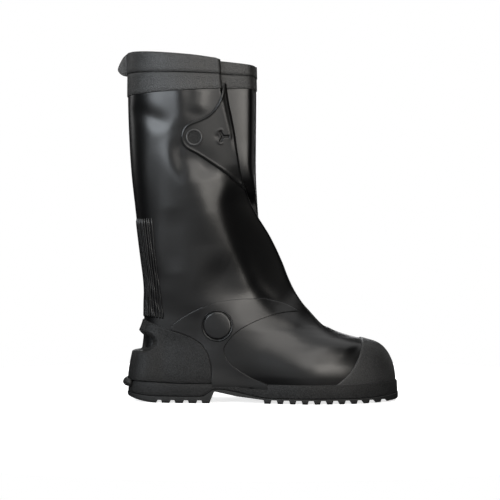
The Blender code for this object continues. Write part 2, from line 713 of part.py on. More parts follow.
def cuff_row(column, line):
    """Row at which a cuff line, given as its back and front heights, meets a column."""
    low = LOOPS[-2][column % LOOP_COUNT]
    high = LOOPS[-1][column % LOOP_COUNT]
    level = mix(line[0], line[1], (low.x + 161.0) / 158.0)
    share = (level - low.z) / (high.z - low.z)
    return UPPER_ROWS[-2] + (UPPER_ROWS[-1] - UPPER_ROWS[-2]) * min(max(share, 0.0), 1.0)


def cuff(name, low_line, high_line, thick, parts):
    """Textured collar band, from the inner layer round the back to the pleat's crest."""
    columns = range(13, LOOP_COUNT + 6)
    inner = []
    outer = []
    for f in (0.0, 1.0):
        line = (mix(low_line[0], high_line[0], f), mix(low_line[1], high_line[1], f))
        inner.append([skin(cuff_row(c, line), c, CUFF_LIFT) for c in columns])
        outer.append([skin(cuff_row(c, line), c, CUFF_LIFT + thick) for c in columns])
    patch_solid(name, inner, outer, parts, material(name + "_grain", 0.05, 0.8))


def pull_tab(parts):
    tab = side_prism("pull_tab", curve_through(TAB_OUTLINE, 3), parts, -2.6, 2.6)
    tab.data.materials.append(material("tab_grain", 0.05, 0.8))


def flap_y(x, z):
    """Inner face of the flap: over the outer wall, then round the crest to its root."""
    v = row_for(x, z)
    g = fold_at(v)
    edge = g["crest_x"] - g["crest_r"]
    if x <= edge:
        return outer_side(x, z) - FLAP_LIFT
    root = g["crest_x"] + 9.0
    return outer_side(edge, z) - FLAP_LIFT + FLAP_ROOT * smooth(edge, root, x) ** 1.2


def closure_flap(parts, cutters):
    """Flap that folds over the pleat on to the stud, with its two holes."""
    xs = [-97.0 + 88.0 * i / 15 for i in range(16)]
    zs = [252.0 + 140.0 * i / 10 for i in range(11)]
    inner = [[Vector((x, flap_y(x, z), z)) for x in xs] for z in zs]
    outer = [[p + Vector((0.0, -FLAP_THICK, 0.0)) for p in row] for row in inner]
    flap = patch_solid("closure_flap", inner, outer, parts, material("flap_pvc", 0.02, 0.4))
    outline = curve_through(FLAP_OUTLINE[:14], 2) + list(FLAP_OUTLINE[14:])
    cut(flap, side_prism("flap_form", outline, cutters), "INTERSECT")
    hole = [(BUTTON_X + 4.7 * math.cos(math.radians(a)), BUTTON_Z + 4.7 * math.sin(math.radians(a)))
            for a in range(0, 360, 30)]
    cut(flap, side_prism("button_hole", hole, cutters), "DIFFERENCE")
    slits = []
    for a in (90.0, 210.0, 330.0):
        for turn, reach in ((-60.0, 1.1), (-9.0, 6.6), (9.0, 6.6)):
            b = math.radians(a + turn)
            slits.append((SLIT_X + reach * math.sin(b), SLIT_Z + reach * math.cos(b)))
    cut(flap, side_prism("slit_hole", slits, cutters), "DIFFERENCE")


def button_stud(parts):
    """Turned stud that stands on the outer wall through the flap's hole."""
    profile = ((0.0, 0.4), (4.0, 0.4), (4.0, 3.1), (9.6, 3.1), (BUTTON_RADIUS, 3.5),
               (BUTTON_RADIUS, 4.7), (9.2, 5.3), (8.2, 4.9), (0.0, 4.9))
    points = [Vector((r, 0.0, h)) for r, h in profile]
    edges = [(i, i + 1) for i in range(len(points) - 1)]
    mesh = bpy.data.meshes.new("button_stud")
    mesh.from_pydata([p * MM for p in points], edges, [])
    mesh.materials.append(material("stud_pvc", 0.03, 0.4))
    stud = bpy.data.objects.new("button_stud", mesh)
    parts.objects.link(stud)
    turn = stud.modifiers.new("Turn", "SCREW")
    turn.steps = 20
    turn.render_steps = 20
    turn.use_normal_flip = True
    turn.use_merge_vertices = True
    turn.merge_threshold = 0.00005
    stud.rotation_euler = (math.radians(90.0), 0.0, 0.0)
    seat = Vector((BUTTON_X, outer_side(BUTTON_X, BUTTON_Z), BUTTON_Z))
    stud.location = (seat - MIDDLE) * MM


def build():
    for old in list(bpy.data.objects):
        bpy.data.objects.remove(old)
    scene = bpy.context.scene.collection
    parts = bpy.data.collections.new("overshoe")
    cutters = bpy.data.collections.new("cutters")
    scene.children.link(parts)
    scene.children.link(cutters)
    outsole(parts, cutters)
    upper(parts)
    foxing_band(parts)
    toe_cap(parts, cutters)
    heel_counter(parts, cutters)
    kick_lug(parts)
    outer_columns = [LOOP_COUNT - 11 + i for i in range(12)]
    inner_columns = [FOLD_POINTS + 1 + i for i in range(11)]
    saddle("saddle_outer", outer_columns, parts, cutters)
    saddle("saddle_inner", inner_columns, parts, cutters)
    ankle_disc(parts, cutters)
    back_ribs(parts)
    cuff("cuff_lower", CUFF_LOW, CUFF_MIDDLE, CUFF_LOWER_THICK, parts)
    cuff("cuff_upper", (CUFF_MIDDLE[0] + GAP, CUFF_MIDDLE[1] + GAP), CUFF_RIM,
         CUFF_UPPER_THICK, parts)
    pull_tab(parts)
    closure_flap(parts, cutters)
    button_stud(parts)


build()
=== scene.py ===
"""Looks of a tall black moulded overshoe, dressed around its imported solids.

The tables are in millimetres on the last's own lines, and the meshes are in metres in the part's
frame. The toe points to +X, the outer side with the flap faces -Y, and +Z is up.
"""
from __future__ import annotations

import logging
import math
from dataclasses import dataclass, field
from enum import Enum
from typing import Any, Callable, ClassVar, Sequence

import bpy
import numpy as np
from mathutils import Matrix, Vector
from mathutils.bvhtree import BVHTree
from mathutils.geometry import delaunay_2d_cdt


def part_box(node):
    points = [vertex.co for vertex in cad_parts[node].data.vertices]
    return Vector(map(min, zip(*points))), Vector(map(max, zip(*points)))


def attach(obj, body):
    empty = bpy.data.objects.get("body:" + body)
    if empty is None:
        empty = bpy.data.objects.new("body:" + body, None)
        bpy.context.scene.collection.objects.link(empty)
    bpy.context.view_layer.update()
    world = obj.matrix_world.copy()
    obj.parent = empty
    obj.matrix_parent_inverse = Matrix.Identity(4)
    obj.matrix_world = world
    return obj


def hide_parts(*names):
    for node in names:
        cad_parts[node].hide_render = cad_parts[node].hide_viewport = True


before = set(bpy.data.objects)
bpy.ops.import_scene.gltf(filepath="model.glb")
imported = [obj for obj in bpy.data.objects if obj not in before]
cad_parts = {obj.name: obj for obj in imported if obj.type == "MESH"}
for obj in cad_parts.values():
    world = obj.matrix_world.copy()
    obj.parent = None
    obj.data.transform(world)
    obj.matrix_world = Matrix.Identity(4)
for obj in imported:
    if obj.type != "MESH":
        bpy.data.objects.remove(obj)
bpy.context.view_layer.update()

LOG = logging.getLogger("overshoe")
MM = 0.001
TINY = 1e-12
FAR = 1e9
STAGGER = 0.866
BODY = "root"
Array = np.ndarray
Values = dict[str, np.ndarray]
Span = tuple[float, float]
Line = tuple[tuple[float, float], ...]
Thing = bpy.types.Object
Material = bpy.types.Material
Socket = bpy.types.NodeSocket


class Side(Enum):
    """Side of the boot; the value is the way that side faces along Y."""

    OUTER = -1.0
    INNER = 1.0


class Grain(Enum):
    """Surface that the mould leaves on the plastic."""

    SMOOTH = "smooth"
    FINE = "fine"
    PEBBLE = "pebble"


# Sizes that the solids have too, in millimetres.
GAP = 0.3
HEEL_END = -161.8
TOE_END = 174.3
TAB_TIP = -174.3
STUD_X = -77.2
STUD_Z = 322.0
FOLD_POCKET = 1.1
RIM_SIDE = 1.6
RIM_PLEAT = 5.0
TOE_SPRING_X = 112.0
TOE_SPRING_RUN = 62.0

# The last's ovals: their fullness, the places along them where the half widths change over and
# where the arch is drawn in, and the curve of their swing.
OVAL_POWER = 0.909
WIDTH_STEPS = (("waist", 0.14, 0.42), ("ball", 0.42, 0.70), ("toe", 0.70, 0.95))
ARCH_SPAN = (0.15, 0.42, 0.68)
SWING_CURVE = (6.24, 5.24)

# The last's rows, columns and angles: the layers of the pleat end at these columns.
RIM_ROW = 17.0
FOLD_FIRST = 7.0
OUTER_END = 3.0
CREST_END = 7.0
MIDDLE_END = 9.0
POCKET_END = 11.0
PANEL_FIRST = 12.5
FOLD_END = 15.0
COLUMNS = 50.0
PLAIN_SPAN = COLUMNS - FOLD_END
TOE = 0.0
HEEL = 180.0
ROW_STEP = 0.04
COLUMN_STEP = 0.06

# Forms of the dressed wall alone: the shoulder's soft edge and upper end, the flat front panel and
# its corner, and the heights over which the firm foot gives way to creases.
SHOULDER_SOFT = 2.4
SHOULDER_CLOSE = 12.0
PANEL_SHARES = (0.0, 0.3, 0.62, 0.82, 1.0)
FRONT_TURN = (5.0, 13.0)
FRONT_PULL = 0.45
FRONT_ARRIVE = 0.5
FRONT_LIFT = 4.6
FRONT_LIFT_TURN = 20.0
FRONT_SLOPE = 21.0
FRONT_SHARE = 0.66
FIRM = (14.0, 30.0)


def smooth(edge0: float, edge1: float, value: Array | float) -> Array:
    """Soft step from 0 at edge0 to 1 at edge1."""
    t = np.clip((np.asarray(value, float) - edge0) / (edge1 - edge0), 0.0, 1.0)
    return t * t * (3.0 - 2.0 * t)


def mix(a: Any, b: Any, f: Any) -> Any:
    """Value between a and b at the share f."""
    return a + (b - a) * f


def hermite(p0: Array, d0: Array, p1: Array, d1: Array, f: Array) -> Array:
    """Curve from p0 to p1 that leaves along d0 and arrives along d1, at the share f."""
    return ((2 * f ** 3 - 3 * f ** 2 + 1) * p0 + (f ** 3 - 2 * f ** 2 + f) * d0
            + (3 * f ** 2 - 2 * f ** 3) * p1 + (f ** 3 - f ** 2) * d1)


def unit(vectors: Array) -> Array:
    """Vectors of length one."""
    return vectors / np.maximum(np.linalg.norm(vectors, axis=-1, keepdims=True), TINY)


@dataclass(frozen=True)
class Table:
    """Named columns of numbers, a row for each station one step apart."""

    columns: tuple[str, ...]
    rows: tuple[tuple[float, ...], ...]

    def sample(self, place: Array) -> Values:
        """Smooth values of every column.

        Args:
            place: places between the rows, counted from the first row.

        Returns:
            One array for each column, shaped as place.
        """
        data = np.asarray(self.rows, float)
        last = len(data) - 1
        t = np.clip(np.asarray(place, float), 0.0, float(last))
        i = np.minimum(t.astype(int), last - 1)
        f = (t - i)[..., None]
        a = data[np.maximum(i - 1, 0)]
        b = data[i]
        c = data[i + 1]
        d = data[np.minimum(i + 2, last)]
        value = hermite(b, 0.5 * (c - a), c, 0.5 * (d - b), f)
        return {name: value[..., k] for k, name in enumerate(self.columns)}


# Sections of the upper, from the feather edge to the rim: a flat oval on a chord from the back
# profile to the front profile; heel, waist, ball and toe are half widths.
SECTIONS = Table(
    ("back_x", "back_z", "front_x", "front_z", "heel", "waist", "ball", "toe",
     "back_n", "front_n", "swing", "arch"),
    (
        (-150.5, 17.0, 169.8, 16.0, 39.0, 38.0, 54.0, 54.5, 3.4, 2.8, 6.0, 4.0),
        (-149.8, 32.0, 169.5, 30.0, 40.0, 39.5, 55.5, 55.5, 3.3, 2.8, 6.0, 3.5),
        (-147.6, 47.0, 166.8, 45.0, 39.5, 39.5, 54.0, 54.0, 3.1, 2.8, 6.0, 3.0),
        (-145.0, 60.0, 160.0, 59.5, 38.5, 39.0, 50.5, 50.5, 2.9, 2.7, 5.5, 2.5),
        (-143.0, 73.0, 149.5, 69.5, 37.5, 38.5, 46.5, 47.0, 2.7, 2.6, 5.0, 2.0),
        (-142.0, 86.0, 131.5, 75.5, 37.5, 38.5, 44.0, 44.0, 2.6, 2.5, 4.0, 1.5),
        (-141.7, 98.0, 110.5, 81.0, 38.0, 39.0, 43.0, 42.0, 2.5, 2.4, 3.0, 1.0),
        (-141.4, 110.0, 88.0, 90.0, 38.5, 40.0, 42.5, 42.0, 2.4, 2.3, 2.0, 0.5),
        (-141.3, 122.0, 57.0, 112.0, 39.5, 41.5, 43.0, 43.0, 2.3, 2.2, 1.0, 0.0),
        (-140.9, 136.0, 32.0, 131.0, 40.5, 42.5, 43.5, 43.5, 2.3, 2.2, 0.0, 0.0),
        (-142.0, 152.0, 17.5, 151.0, 42.0, 44.0, 44.5, 44.5, 2.2, 2.2, 0.0, 0.0),
        (-144.9, 174.0, 9.0, 174.0, 44.0, 45.5, 45.5, 45.5, 2.2, 2.2, 0.0, 0.0),
        (-148.7, 204.0, 3.0, 204.0, 46.0, 47.0, 47.0, 47.0, 2.2, 2.2, 0.0, 0.0),
        (-152.8, 240.0, -0.4, 240.0, 48.0, 48.5, 48.5, 48.5, 2.2, 2.2, 0.0, 0.0),
        (-157.2, 280.0, -2.4, 280.0, 49.5, 50.0, 50.0, 50.0, 2.2, 2.2, 0.0, 0.0),
        (-160.0, 323.0, -2.4, 323.0, 50.5, 51.0, 51.0, 51.0, 2.2, 2.2, 0.0, 0.0),
        (-161.6, 373.0, -2.0, 373.0, 51.5, 52.0, 52.0, 52.0, 2.2, 2.2, 0.0, 0.0),
        (-161.0, 431.4, -3.0, 416.5, 52.0, 52.0, 52.0, 52.0, 2.2, 2.2, 0.0, 0.0),
    ),
)

# The folded gusset, a row for each section from the throat up.
FOLDS = Table(
    ("open", "crest_x", "crest_y", "crest_r", "depth", "lie", "leave", "join", "turn"),
    (
        (0.0, 88.0, 0.0, 10.0, 2.0, 30.0, 50.0, -50.0, 0.0),
        (1.0, 62.0, -4.0, 9.0, 6.0, 30.0, 50.0, -36.0, 0.0),
        (1.0, 47.5, -6.0, 8.0, 13.0, 30.0, 50.0, -20.0, 0.0),
        (1.0, 37.5, -7.0, 7.0, 18.0, 24.0, 52.0, -8.0, 0.0),
        (1.0, 28.5, -8.0, 6.0, 22.0, 24.0, 56.0, 0.0, 0.0),
        (1.0, 14.0, -14.0, 5.0, 25.0, 24.0, 60.0, 6.0, 0.0),
        (1.0, -7.5, -27.0, 4.0, 28.0, 18.0, 66.0, 11.0, 5.0),
        (1.0, -21.0, -38.0, 3.4, 30.0, 10.0, 72.0, 11.0, 22.0),
        (1.0, -32.0, -44.0, 3.2, 31.0, 4.0, 82.0, 11.0, 23.0),
        (1.0, -43.0, -46.5, 3.2, 32.0, 1.0, 88.0, 11.0, 23.0),
        (1.0, -47.5, -46.5, 3.2, 32.0, 0.0, 90.0, 11.0, 23.0),
    ),
)


class Fold(Enum):
    """Shape of a crease across its line."""

    TROUGH = "trough"
    SHOULDER = "shoulder"


@dataclass(frozen=True)
class Crease:
    """Soft trough, ridge or shoulder along a smooth line in side view; a ridge has a depth below 0."""

    line: Line
    width: float
    depth: float
    side: Side = Side.OUTER
    fade: float = 0.35
    fold: Fold = Fold.TROUGH

    def sink(self, x: Array, z: Array) -> Array:
        """Depth of the crease at side-view points.

        Args:
            x: places along the boot.
            z: heights.

        Returns:
            How far the wall sinks towards the inside there, less towards the line's ends. A shoulder
            drops away on the left of the line, as it runs, and stays down below the line's start.
        """
        line = through(self.line, 6)
        nearest = np.full(np.shape(x), FAR)
        share = np.zeros(np.shape(x))
        left = np.zeros(np.shape(x), bool)
        for k, ((x0, z0), (x1, z1)) in enumerate(zip(line, line[1:])):
            dx = x1 - x0
            dz = z1 - z0
            f = np.clip(((x - x0) * dx + (z - z0) * dz) / (dx * dx + dz * dz), 0.0, 1.0)
            d = np.hypot(x - x0 - f * dx, z - z0 - f * dz)
            share = np.where(d < nearest, (k + f) / (len(line) - 1), share)
            left = np.where(d < nearest, dx * (z - z0) - dz * (x - x0) > 0.0, left)
            nearest = np.minimum(nearest, d)
        ends = smooth(0.0, self.fade, share) * smooth(1.0, 1.0 - self.fade, share)
        if self.fold is Fold.TROUGH:
            return self.depth * ends * np.exp(-((nearest / self.width) ** 2))
        past = np.logaddexp(0.0, np.where(left, nearest, -nearest) / SHOULDER_SOFT) * SHOULDER_SOFT
        start = self.line[0][1]
        below = smooth(start + SHOULDER_CLOSE, start - SHOULDER_CLOSE, z)
        return self.depth * ends * below * np.tanh(past / self.width)


CREASES = (
    # The back half of the shaft: a slanting dent below the collar, and hollows down to the ankle.
    Crease(((-160.0, 360.0), (-135.0, 350.0), (-105.0, 335.0)), 10.0, 2.0),
    Crease(((-125.0, 330.0), (-130.0, 255.0), (-125.0, 180.0)), 12.0, 1.0),
    Crease(((-105.0, 240.0), (-100.0, 155.0)), 14.0, 1.5),
    Crease(((-85.0, 250.0), (-80.0, 195.0), (-85.0, 105.0)), 18.0, 1.0),
    # Two upright bulges between the collar and the flap.
    Crease(((-95.0, 390.0), (-90.0, 330.0)), 12.0, -1.5),
    Crease(((-70.0, 390.0), (-75.0, 350.0)), 10.0, -1.5),
    # The hook that hangs from the flap's point, and the full bulge beside it.
    Crease(((-75.0, 320.0), (-95.0, 310.0), (-95.0, 290.0), (-85.0, 265.0)), 9.0, 2.0),
    Crease(((-100.0, 295.0), (-70.0, 295.0), (-60.0, 270.0)), 14.0, 2.0),
    Crease(((-120.0, 320.0), (-85.0, 270.0), (-70.0, 230.0), (-65.0, 190.0)), 18.0, -3.0),
    # The gusset's shoulder, where the wall drops to the folded layer, and the valley at its foot.
    Crease(((-60.0, 280.0), (-40.0, 265.0), (-45.0, 240.0), (-35.0, 200.0), (-15.0, 160.0), (10.0, 125.0),
            (30.0, 110.0), (50.0, 100.0)), 19.0, 6.0, fade=0.2, fold=Fold.SHOULDER),
    Crease(((-25.0, 200.0), (-5.0, 150.0), (10.0, 130.0), (30.0, 110.0), (70.0, 100.0)), 8.0, 1.5),
    # The bend at the instep, and the vamp's hollow and rounds.
    Crease(((-75.0, 160.0), (-45.0, 150.0), (-15.0, 125.0), (50.0, 110.0)), 27.0, 5.0),
    Crease(((-35.0, 115.0), (15.0, 100.0), (45.0, 75.0), (95.0, 60.0)), 20.0, 2.5),
    Crease(((-75.0, 90.0), (-30.0, 80.0), (10.0, 50.0), (90.0, 45.0)), 27.0, -4.0),
    Crease(((55.0, 65.0), (100.0, 70.0), (115.0, 60.0)), 13.0, -2.0),
    # The inner side.
    Crease(((-110.0, 300.0), (-60.0, 282.0)), 18.0, 2.4, Side.INNER),
    Crease(((-100.0, 172.0), (-66.0, 160.0), (-30.0, 146.0)), 14.0, 2.6, Side.INNER),
    Crease(((-94.0, 208.0), (-66.0, 200.0), (-36.0, 186.0)), 15.0, -1.8, Side.INNER),
    Crease(((-60.0, 100.0), (-10.0, 88.0), (40.0, 66.0), (90.0, 46.0)), 19.0, -1.6, Side.INNER),
)


def frame_shift() -> Array:
    """Step from the last's own lines to the part's frame, read from the pull tab's place."""
    low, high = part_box("pull_tab")
    return np.array([low.x / MM - TAB_TIP, 0.5 * (low.y + high.y) / MM, 0.0])


SHIFT = frame_shift()


def spring(way: Array, first: float, run: float) -> Array:
    """Curve that rises from 0 past a place and reaches 1 a run further on."""
    return np.maximum((way - first) / run, 0.0) ** 2


def toe_spring(x: Array, rise: float) -> Array:
    """Turn-up of a sole line towards the toe."""
    return rise * spring(x, TOE_SPRING_X, TOE_SPRING_RUN)


def footbed_z(x: Array) -> Array:
    """Height of the inside of the sole: heel, waist, then forefoot.

    Args:
        x: places along the boot.

    Returns:
        Heights in millimetres.
    """
    bed = mix(18.0, 20.0, smooth(-110.0, -58.0, x))
    bed = mix(bed, 11.5, smooth(-50.0, 50.0, x))
    return bed + toe_spring(x, 6.0)


def ledge_z(x: Array) -> Array:
    """Height of the outsole's lip, under the foxing: heel, then the arch down to the forefoot.

    Args:
        x: places along the boot.

    Returns:
        Heights in millimetres.
    """
    arch = mix(17.0, 6.2, smooth(-52.0, 16.0, x))
    side = mix(8.0, arch, smooth(-70.0, -52.0, x))
    return side + toe_spring(x, 4.6) + 4.0 * spring(-x, 120.0, 42.0)


def tread_z(x: Array) -> Array:
    """Height of the tread's underside, turned up at the heel and the toe."""
    return toe_spring(x, 2.6) + 7.0 * spring(-x, 124.0, 38.0)


def foxing_top_z(x: Array) -> Array:
    """Height of the foxing's upper edge, which climbs at the heel and the toe."""
    return 23.4 + 3.0 * smooth(-95.0, -162.0, x) + 1.5 * smooth(120.0, 170.0, x)


class Last:
    """Outer face of the upper as a function of a row and a column.

    Rows run from the feather edge, 0, to the rim, 17. Columns run from the place where the wall
    leaves the oval, 0, over the layers of the pleat to 15, round the inner side to the back, near
    32.5, and along the outer side to 50, which is 0 again.
    """

    @staticmethod
    def oval(s: Values, degrees: Array) -> Array:
        """Points of flat ovals.

        Args:
            s: the sections' values.
            degrees: angles from 0 at the front by 90 on the outer side.

        Returns:
            Flat points, one for each angle.
        """
        c = np.cos(np.radians(degrees))
        q = np.sin(np.radians(degrees))
        n = np.where(c > 0.0, s["front_n"], s["back_n"])
        reach = np.sign(c) * np.abs(c) ** OVAL_POWER
        u = 0.5 + 0.5 * reach
        bend = s["swing"] * (SWING_CURVE[0] * u ** 3 - SWING_CURVE[1] * u ** 2)
        w = s["heel"]
        for name, first, last in WIDTH_STEPS:
            w = mix(w, s[name], smooth(first, last, u))
        back, deepest, front = ARCH_SPAN
        arch = s["arch"] * smooth(back, deepest, u) * smooth(front, deepest, u)
        w = w - np.where(q < 0.0, arch, 0.0)
        half = w * np.maximum(1.0 - np.abs(reach) ** n, 0.0) ** (1.0 / n)
        x = mix(s["back_x"], s["front_x"], u)
        return np.stack([x, bend - np.where(q < 0.0, -half, half)], -1)

    def heading(self, s: Values, degrees: Array) -> Array:
        """Way the oval runs, towards the front and on to the inner side."""
        return unit(self.oval(s, degrees - 1.0) - self.oval(s, degrees + 1.0))

    @staticmethod
    def flatness(g: Values) -> Array:
        """How far the front panel has gone flat, from the vamp, 0, to the shaft, 1."""
        return smooth(*FRONT_TURN, g["turn"])

    def pleat(self, s: Values, g: Values, j: Array) -> Array:
        """Wall of the pleat: outer layer, crest, middle layer, inner turn, inner layer.

        Args:
            s: the sections' values.
            g: the folds' values.
            j: columns from 0 to 15.

        Returns:
            Flat points, one for each column.
        """
        lie = np.radians(g["lie"])
        along = np.stack([np.cos(lie), np.sin(lie)], -1)
        inward = np.stack([-along[..., 1], along[..., 0]], -1)
        r = g["crest_r"][..., None]
        centre = np.stack([g["crest_x"], g["crest_y"]], -1) - r * along
        leave = self.oval(s, g["leave"])
        k = j[..., None]

        start = centre - r * inward
        reach = np.linalg.norm(start - leave, axis=-1, keepdims=True)
        outer = hermite(leave, self.heading(s, g["leave"]) * reach, start, along * reach,
                        np.clip(k / OUTER_END, 0.0, 1.0))
        turn = np.radians(-90.0 + 180.0 * (k - OUTER_END) / (CREST_END - OUTER_END))
        crest = centre + r * (np.cos(turn) * along + np.sin(turn) * inward)
        bend = centre + r * inward
        deep = bend - g["depth"][..., None] * along
        middle = mix(bend, deep, np.clip((k - CREST_END) / (MIDDLE_END - CREST_END), 0.0, 1.0))
        half = math.pi * np.clip((k - MIDDLE_END) / (POCKET_END - MIDDLE_END), 0.0, 1.0)
        pocket = deep + FOLD_POCKET * ((1.0 - np.cos(half)) * inward - np.sin(half) * along)
        inner = self.inner_layer(s, g, j, deep + 2.0 * FOLD_POCKET * inward, along)
        return np.select([k < OUTER_END, k <= CREST_END, k <= MIDDLE_END, k < POCKET_END],
                         [outer, crest, middle, pocket], inner)

    def inner_layer(self, s: Values, g: Values, j: Array, start: Array,
                    along: Array) -> Array:
        """Inner layer of the pleat: round over the vamp, a flat panel with a corner on the shaft.

        Args:
            s: the sections' values.
            g: the folds' values.
            j: columns from 0 to 15.
            start: flat points where the layer leaves the inner turn.
            along: ways in which it leaves.

        Returns:
            Flat points, one for each column, that end where the wall rejoins the oval.
        """
        columns = np.linspace(POCKET_END, FOLD_END, len(PANEL_SHARES))
        share = np.interp(j, columns, PANEL_SHARES)[..., None]
        join = self.oval(s, g["join"])
        end_way = self.heading(s, g["join"])
        reach = np.linalg.norm(join - start, axis=-1, keepdims=True)
        plain = hermite(start, along * reach, join, end_way * reach * FRONT_PULL, share)

        side_way = self.heading(s, g["join"] + g["turn"])
        out = np.stack([side_way[..., 1], -side_way[..., 0]], -1)
        lift = FRONT_LIFT * np.clip(g["turn"] / FRONT_LIFT_TURN, 0.0, 1.0)[..., None]
        corner = self.oval(s, g["join"] + g["turn"]) + lift * out
        slope = math.radians(FRONT_SLOPE)
        way = np.array([math.cos(slope), math.sin(slope)])
        flat_reach = np.linalg.norm(corner - start, axis=-1, keepdims=True)
        turn_reach = np.linalg.norm(join - corner, axis=-1, keepdims=True)
        flat = hermite(start, along * flat_reach, corner, way * flat_reach * FRONT_ARRIVE,
                       share / FRONT_SHARE)
        bent = hermite(corner, way * turn_reach, join, end_way * turn_reach,
                       (share - FRONT_SHARE) / (1.0 - FRONT_SHARE))
        panel = np.where(share < FRONT_SHARE, flat, bent)
        return mix(plain, panel, self.flatness(g)[..., None])

    def angle(self, g: Values, j: Array) -> Array:
        """Angle on the plain oval that a column stands at.

        Args:
            g: the folds' values.
            j: columns.

        Returns:
            Angles in degrees.
        """
        sweep = 360.0 - g["leave"] + g["join"]
        fold = mix(g["leave"], g["join"], j / FOLD_END)
        plain = g["join"] - sweep * (j - FOLD_END) / PLAIN_SPAN
        return np.where(j <= FOLD_END, fold, plain)

    def column(self, v: Array, degrees: Array) -> Array:
        """Column that stands at an angle of the plain oval.

        Args:
            v: rows.
            degrees: angles, of the same shape.

        Returns:
            Columns from 0 to 50.
        """
        g = FOLDS.sample(np.maximum(v - FOLD_FIRST, 0.0))
        sweep = 360.0 - g["leave"] + g["join"]
        a = (degrees + 180.0) % 360.0 - 180.0
        fold = FOLD_END * (g["leave"] - a) / (g["leave"] - g["join"])
        plain = FOLD_END + PLAIN_SPAN * ((g["join"] - a) % 360.0) / sweep
        return np.where((a >= g["join"]) & (a <= g["leave"]), fold, plain)

    @staticmethod
    def lift(s: Values, v: Array, x: Array) -> Array:
        """Height on a section's chord."""
        z = mix(s["back_z"], s["front_z"], (x - s["back_x"]) / (s["front_x"] - s["back_x"]))
        return np.where(v < 1.0, mix(footbed_z(x) + GAP, z, np.minimum(v, 1.0)), z)

    @staticmethod
    def rim_dip(v: Array, j: Array) -> Array:
        """Sag of the rim on the outer side, most where the pleat draws it down.

        Args:
            v: rows; the sag grows over the last one.
            j: columns, of the same shape.

        Returns:
            Drops in millimetres.
        """
        side = RIM_SIDE * smooth(33.0, 40.0, j)
        fold = (RIM_SIDE + (RIM_PLEAT - RIM_SIDE) * smooth(0.0, 8.0, j)) * smooth(20.0, 13.0, j)
        return np.where(j >= 20.0, side, fold) * np.maximum(v - RIM_ROW + 1.0, 0.0)

    @staticmethod
    def weight(side: Side, j: Array, flat: Array) -> Array:
        """Share of a side's creases that a column takes.

        Args:
            side: the side that the creases are on.
            j: columns.
            flat: how far the front panel has gone flat; the flat panel takes no creases.

        Returns:
            Shares from 0 to 1, which fade towards the back and the front.
        """
        if side is Side.OUTER:
            fold = mix(smooth(FOLD_END, PANEL_FIRST, j), smooth(PANEL_FIRST, POCKET_END, j), flat)
            return np.where(j <= FOLD_END, fold, smooth(33.5, 38.0, j))
        return smooth(16.0, 19.0, j) * smooth(31.5, 27.0, j)

    def place(self, v: Array, j: Array) -> Array:
        """Points of the creased outer face.

        Args:
            v: rows.
            j: columns, of the same shape.

        Returns:
            Points in millimetres on the last's lines.
        """
        v, j = np.broadcast_arrays(np.asarray(v, float), np.asarray(j, float) % COLUMNS)
        s = SECTIONS.sample(v)
        g = FOLDS.sample(np.maximum(v - FOLD_FIRST, 0.0))
        flat = self.oval(s, self.angle(g, j))
        opened = np.clip(g["open"], 0.0, 1.0) ** 0.6
        opened = np.where((j <= FOLD_END) & (v > FOLD_FIRST), opened, 0.0)
        flat = mix(flat, self.pleat(s, g, np.minimum(j, FOLD_END)), opened[..., None])
        x = flat[..., 0]
        z = self.lift(s, v, x) - self.rim_dip(v, j)
        y = flat[..., 1].copy()
        firm = smooth(*FIRM, z)
        front = self.flatness(g)
        for crease in CREASES:
            y -= crease.side.value * crease.sink(x, z) * self.weight(crease.side, j, front) * firm
        return np.stack([x, y, z], -1)

    def normal(self, v: Array, j: Array) -> Array:
        """Normals of the creased outer face.

        Args:
            v: rows.
            j: columns, of the same shape.

        Returns:
            Outward vectors of length one.
        """
        v = np.asarray(v, float)
        above = self.place(np.minimum(v + ROW_STEP, RIM_ROW), j)
        up = above - self.place(np.maximum(v - ROW_STEP, 0.0), j)
        around = self.place(v, j + COLUMN_STEP) - self.place(v, j - COLUMN_STEP)
        return unit(np.cross(around, up))

    def row_for(self, x: Array, z: Array) -> Array:
        """Rows whose chords pass through side-view points, found by halving.

        Args:
            x: places along the boot.
            z: heights, of the same shape.

        Returns:
            Rows from 0 to the rim's.
        """
        low = np.zeros(np.shape(x))
        high = np.full(np.shape(x), RIM_ROW)
        for _ in range(40):
            v = 0.5 * (low + high)
            below = self.lift(SECTIONS.sample(v), v, x) < z
            low = np.where(below, v, low)
            high = np.where(below, high, v)
        return 0.5 * (low + high)

    def angle_for(self, v: Array, x: Array) -> Array:
        """Angle from the front at which a row's oval passes a place.

        Args:
            v: rows.
            x: places along the boot, of the same shape.

        Returns:
            Angles from 0 to 180 degrees.
        """
        s = SECTIONS.sample(v)
        reach = 2.0 * (x - s["back_x"]) / (s["front_x"] - s["back_x"]) - 1.0
        reach = np.clip(reach, -1.0, 1.0)
        return np.degrees(np.arccos(np.sign(reach) * np.abs(reach) ** (1.0 / OVAL_POWER)))

    def side_place(self, points: Array, side: Side) -> tuple[Array, Array]:
        """Wall behind side-view points, away from the pleat.

        Args:
            points: places along the boot and heights.
            side: the side of the boot.

        Returns:
            The wall's points and its normals.
        """
        v = self.row_for(points[:, 0], points[:, 1])
        j = self.column(v, -side.value * self.angle_for(v, points[:, 0]))
        return self.place(v, j), self.normal(v, j)


LAST = Last()


def link(name: str, data: bpy.types.ID) -> Thing:
    """New object in the scene, at the frame's origin.

    Args:
        name: its name.
        data: its mesh, light or camera.

    Returns:
        The object.
    """
    thing = bpy.data.objects.new(name, data)
    bpy.context.scene.collection.objects.link(thing)
    return thing


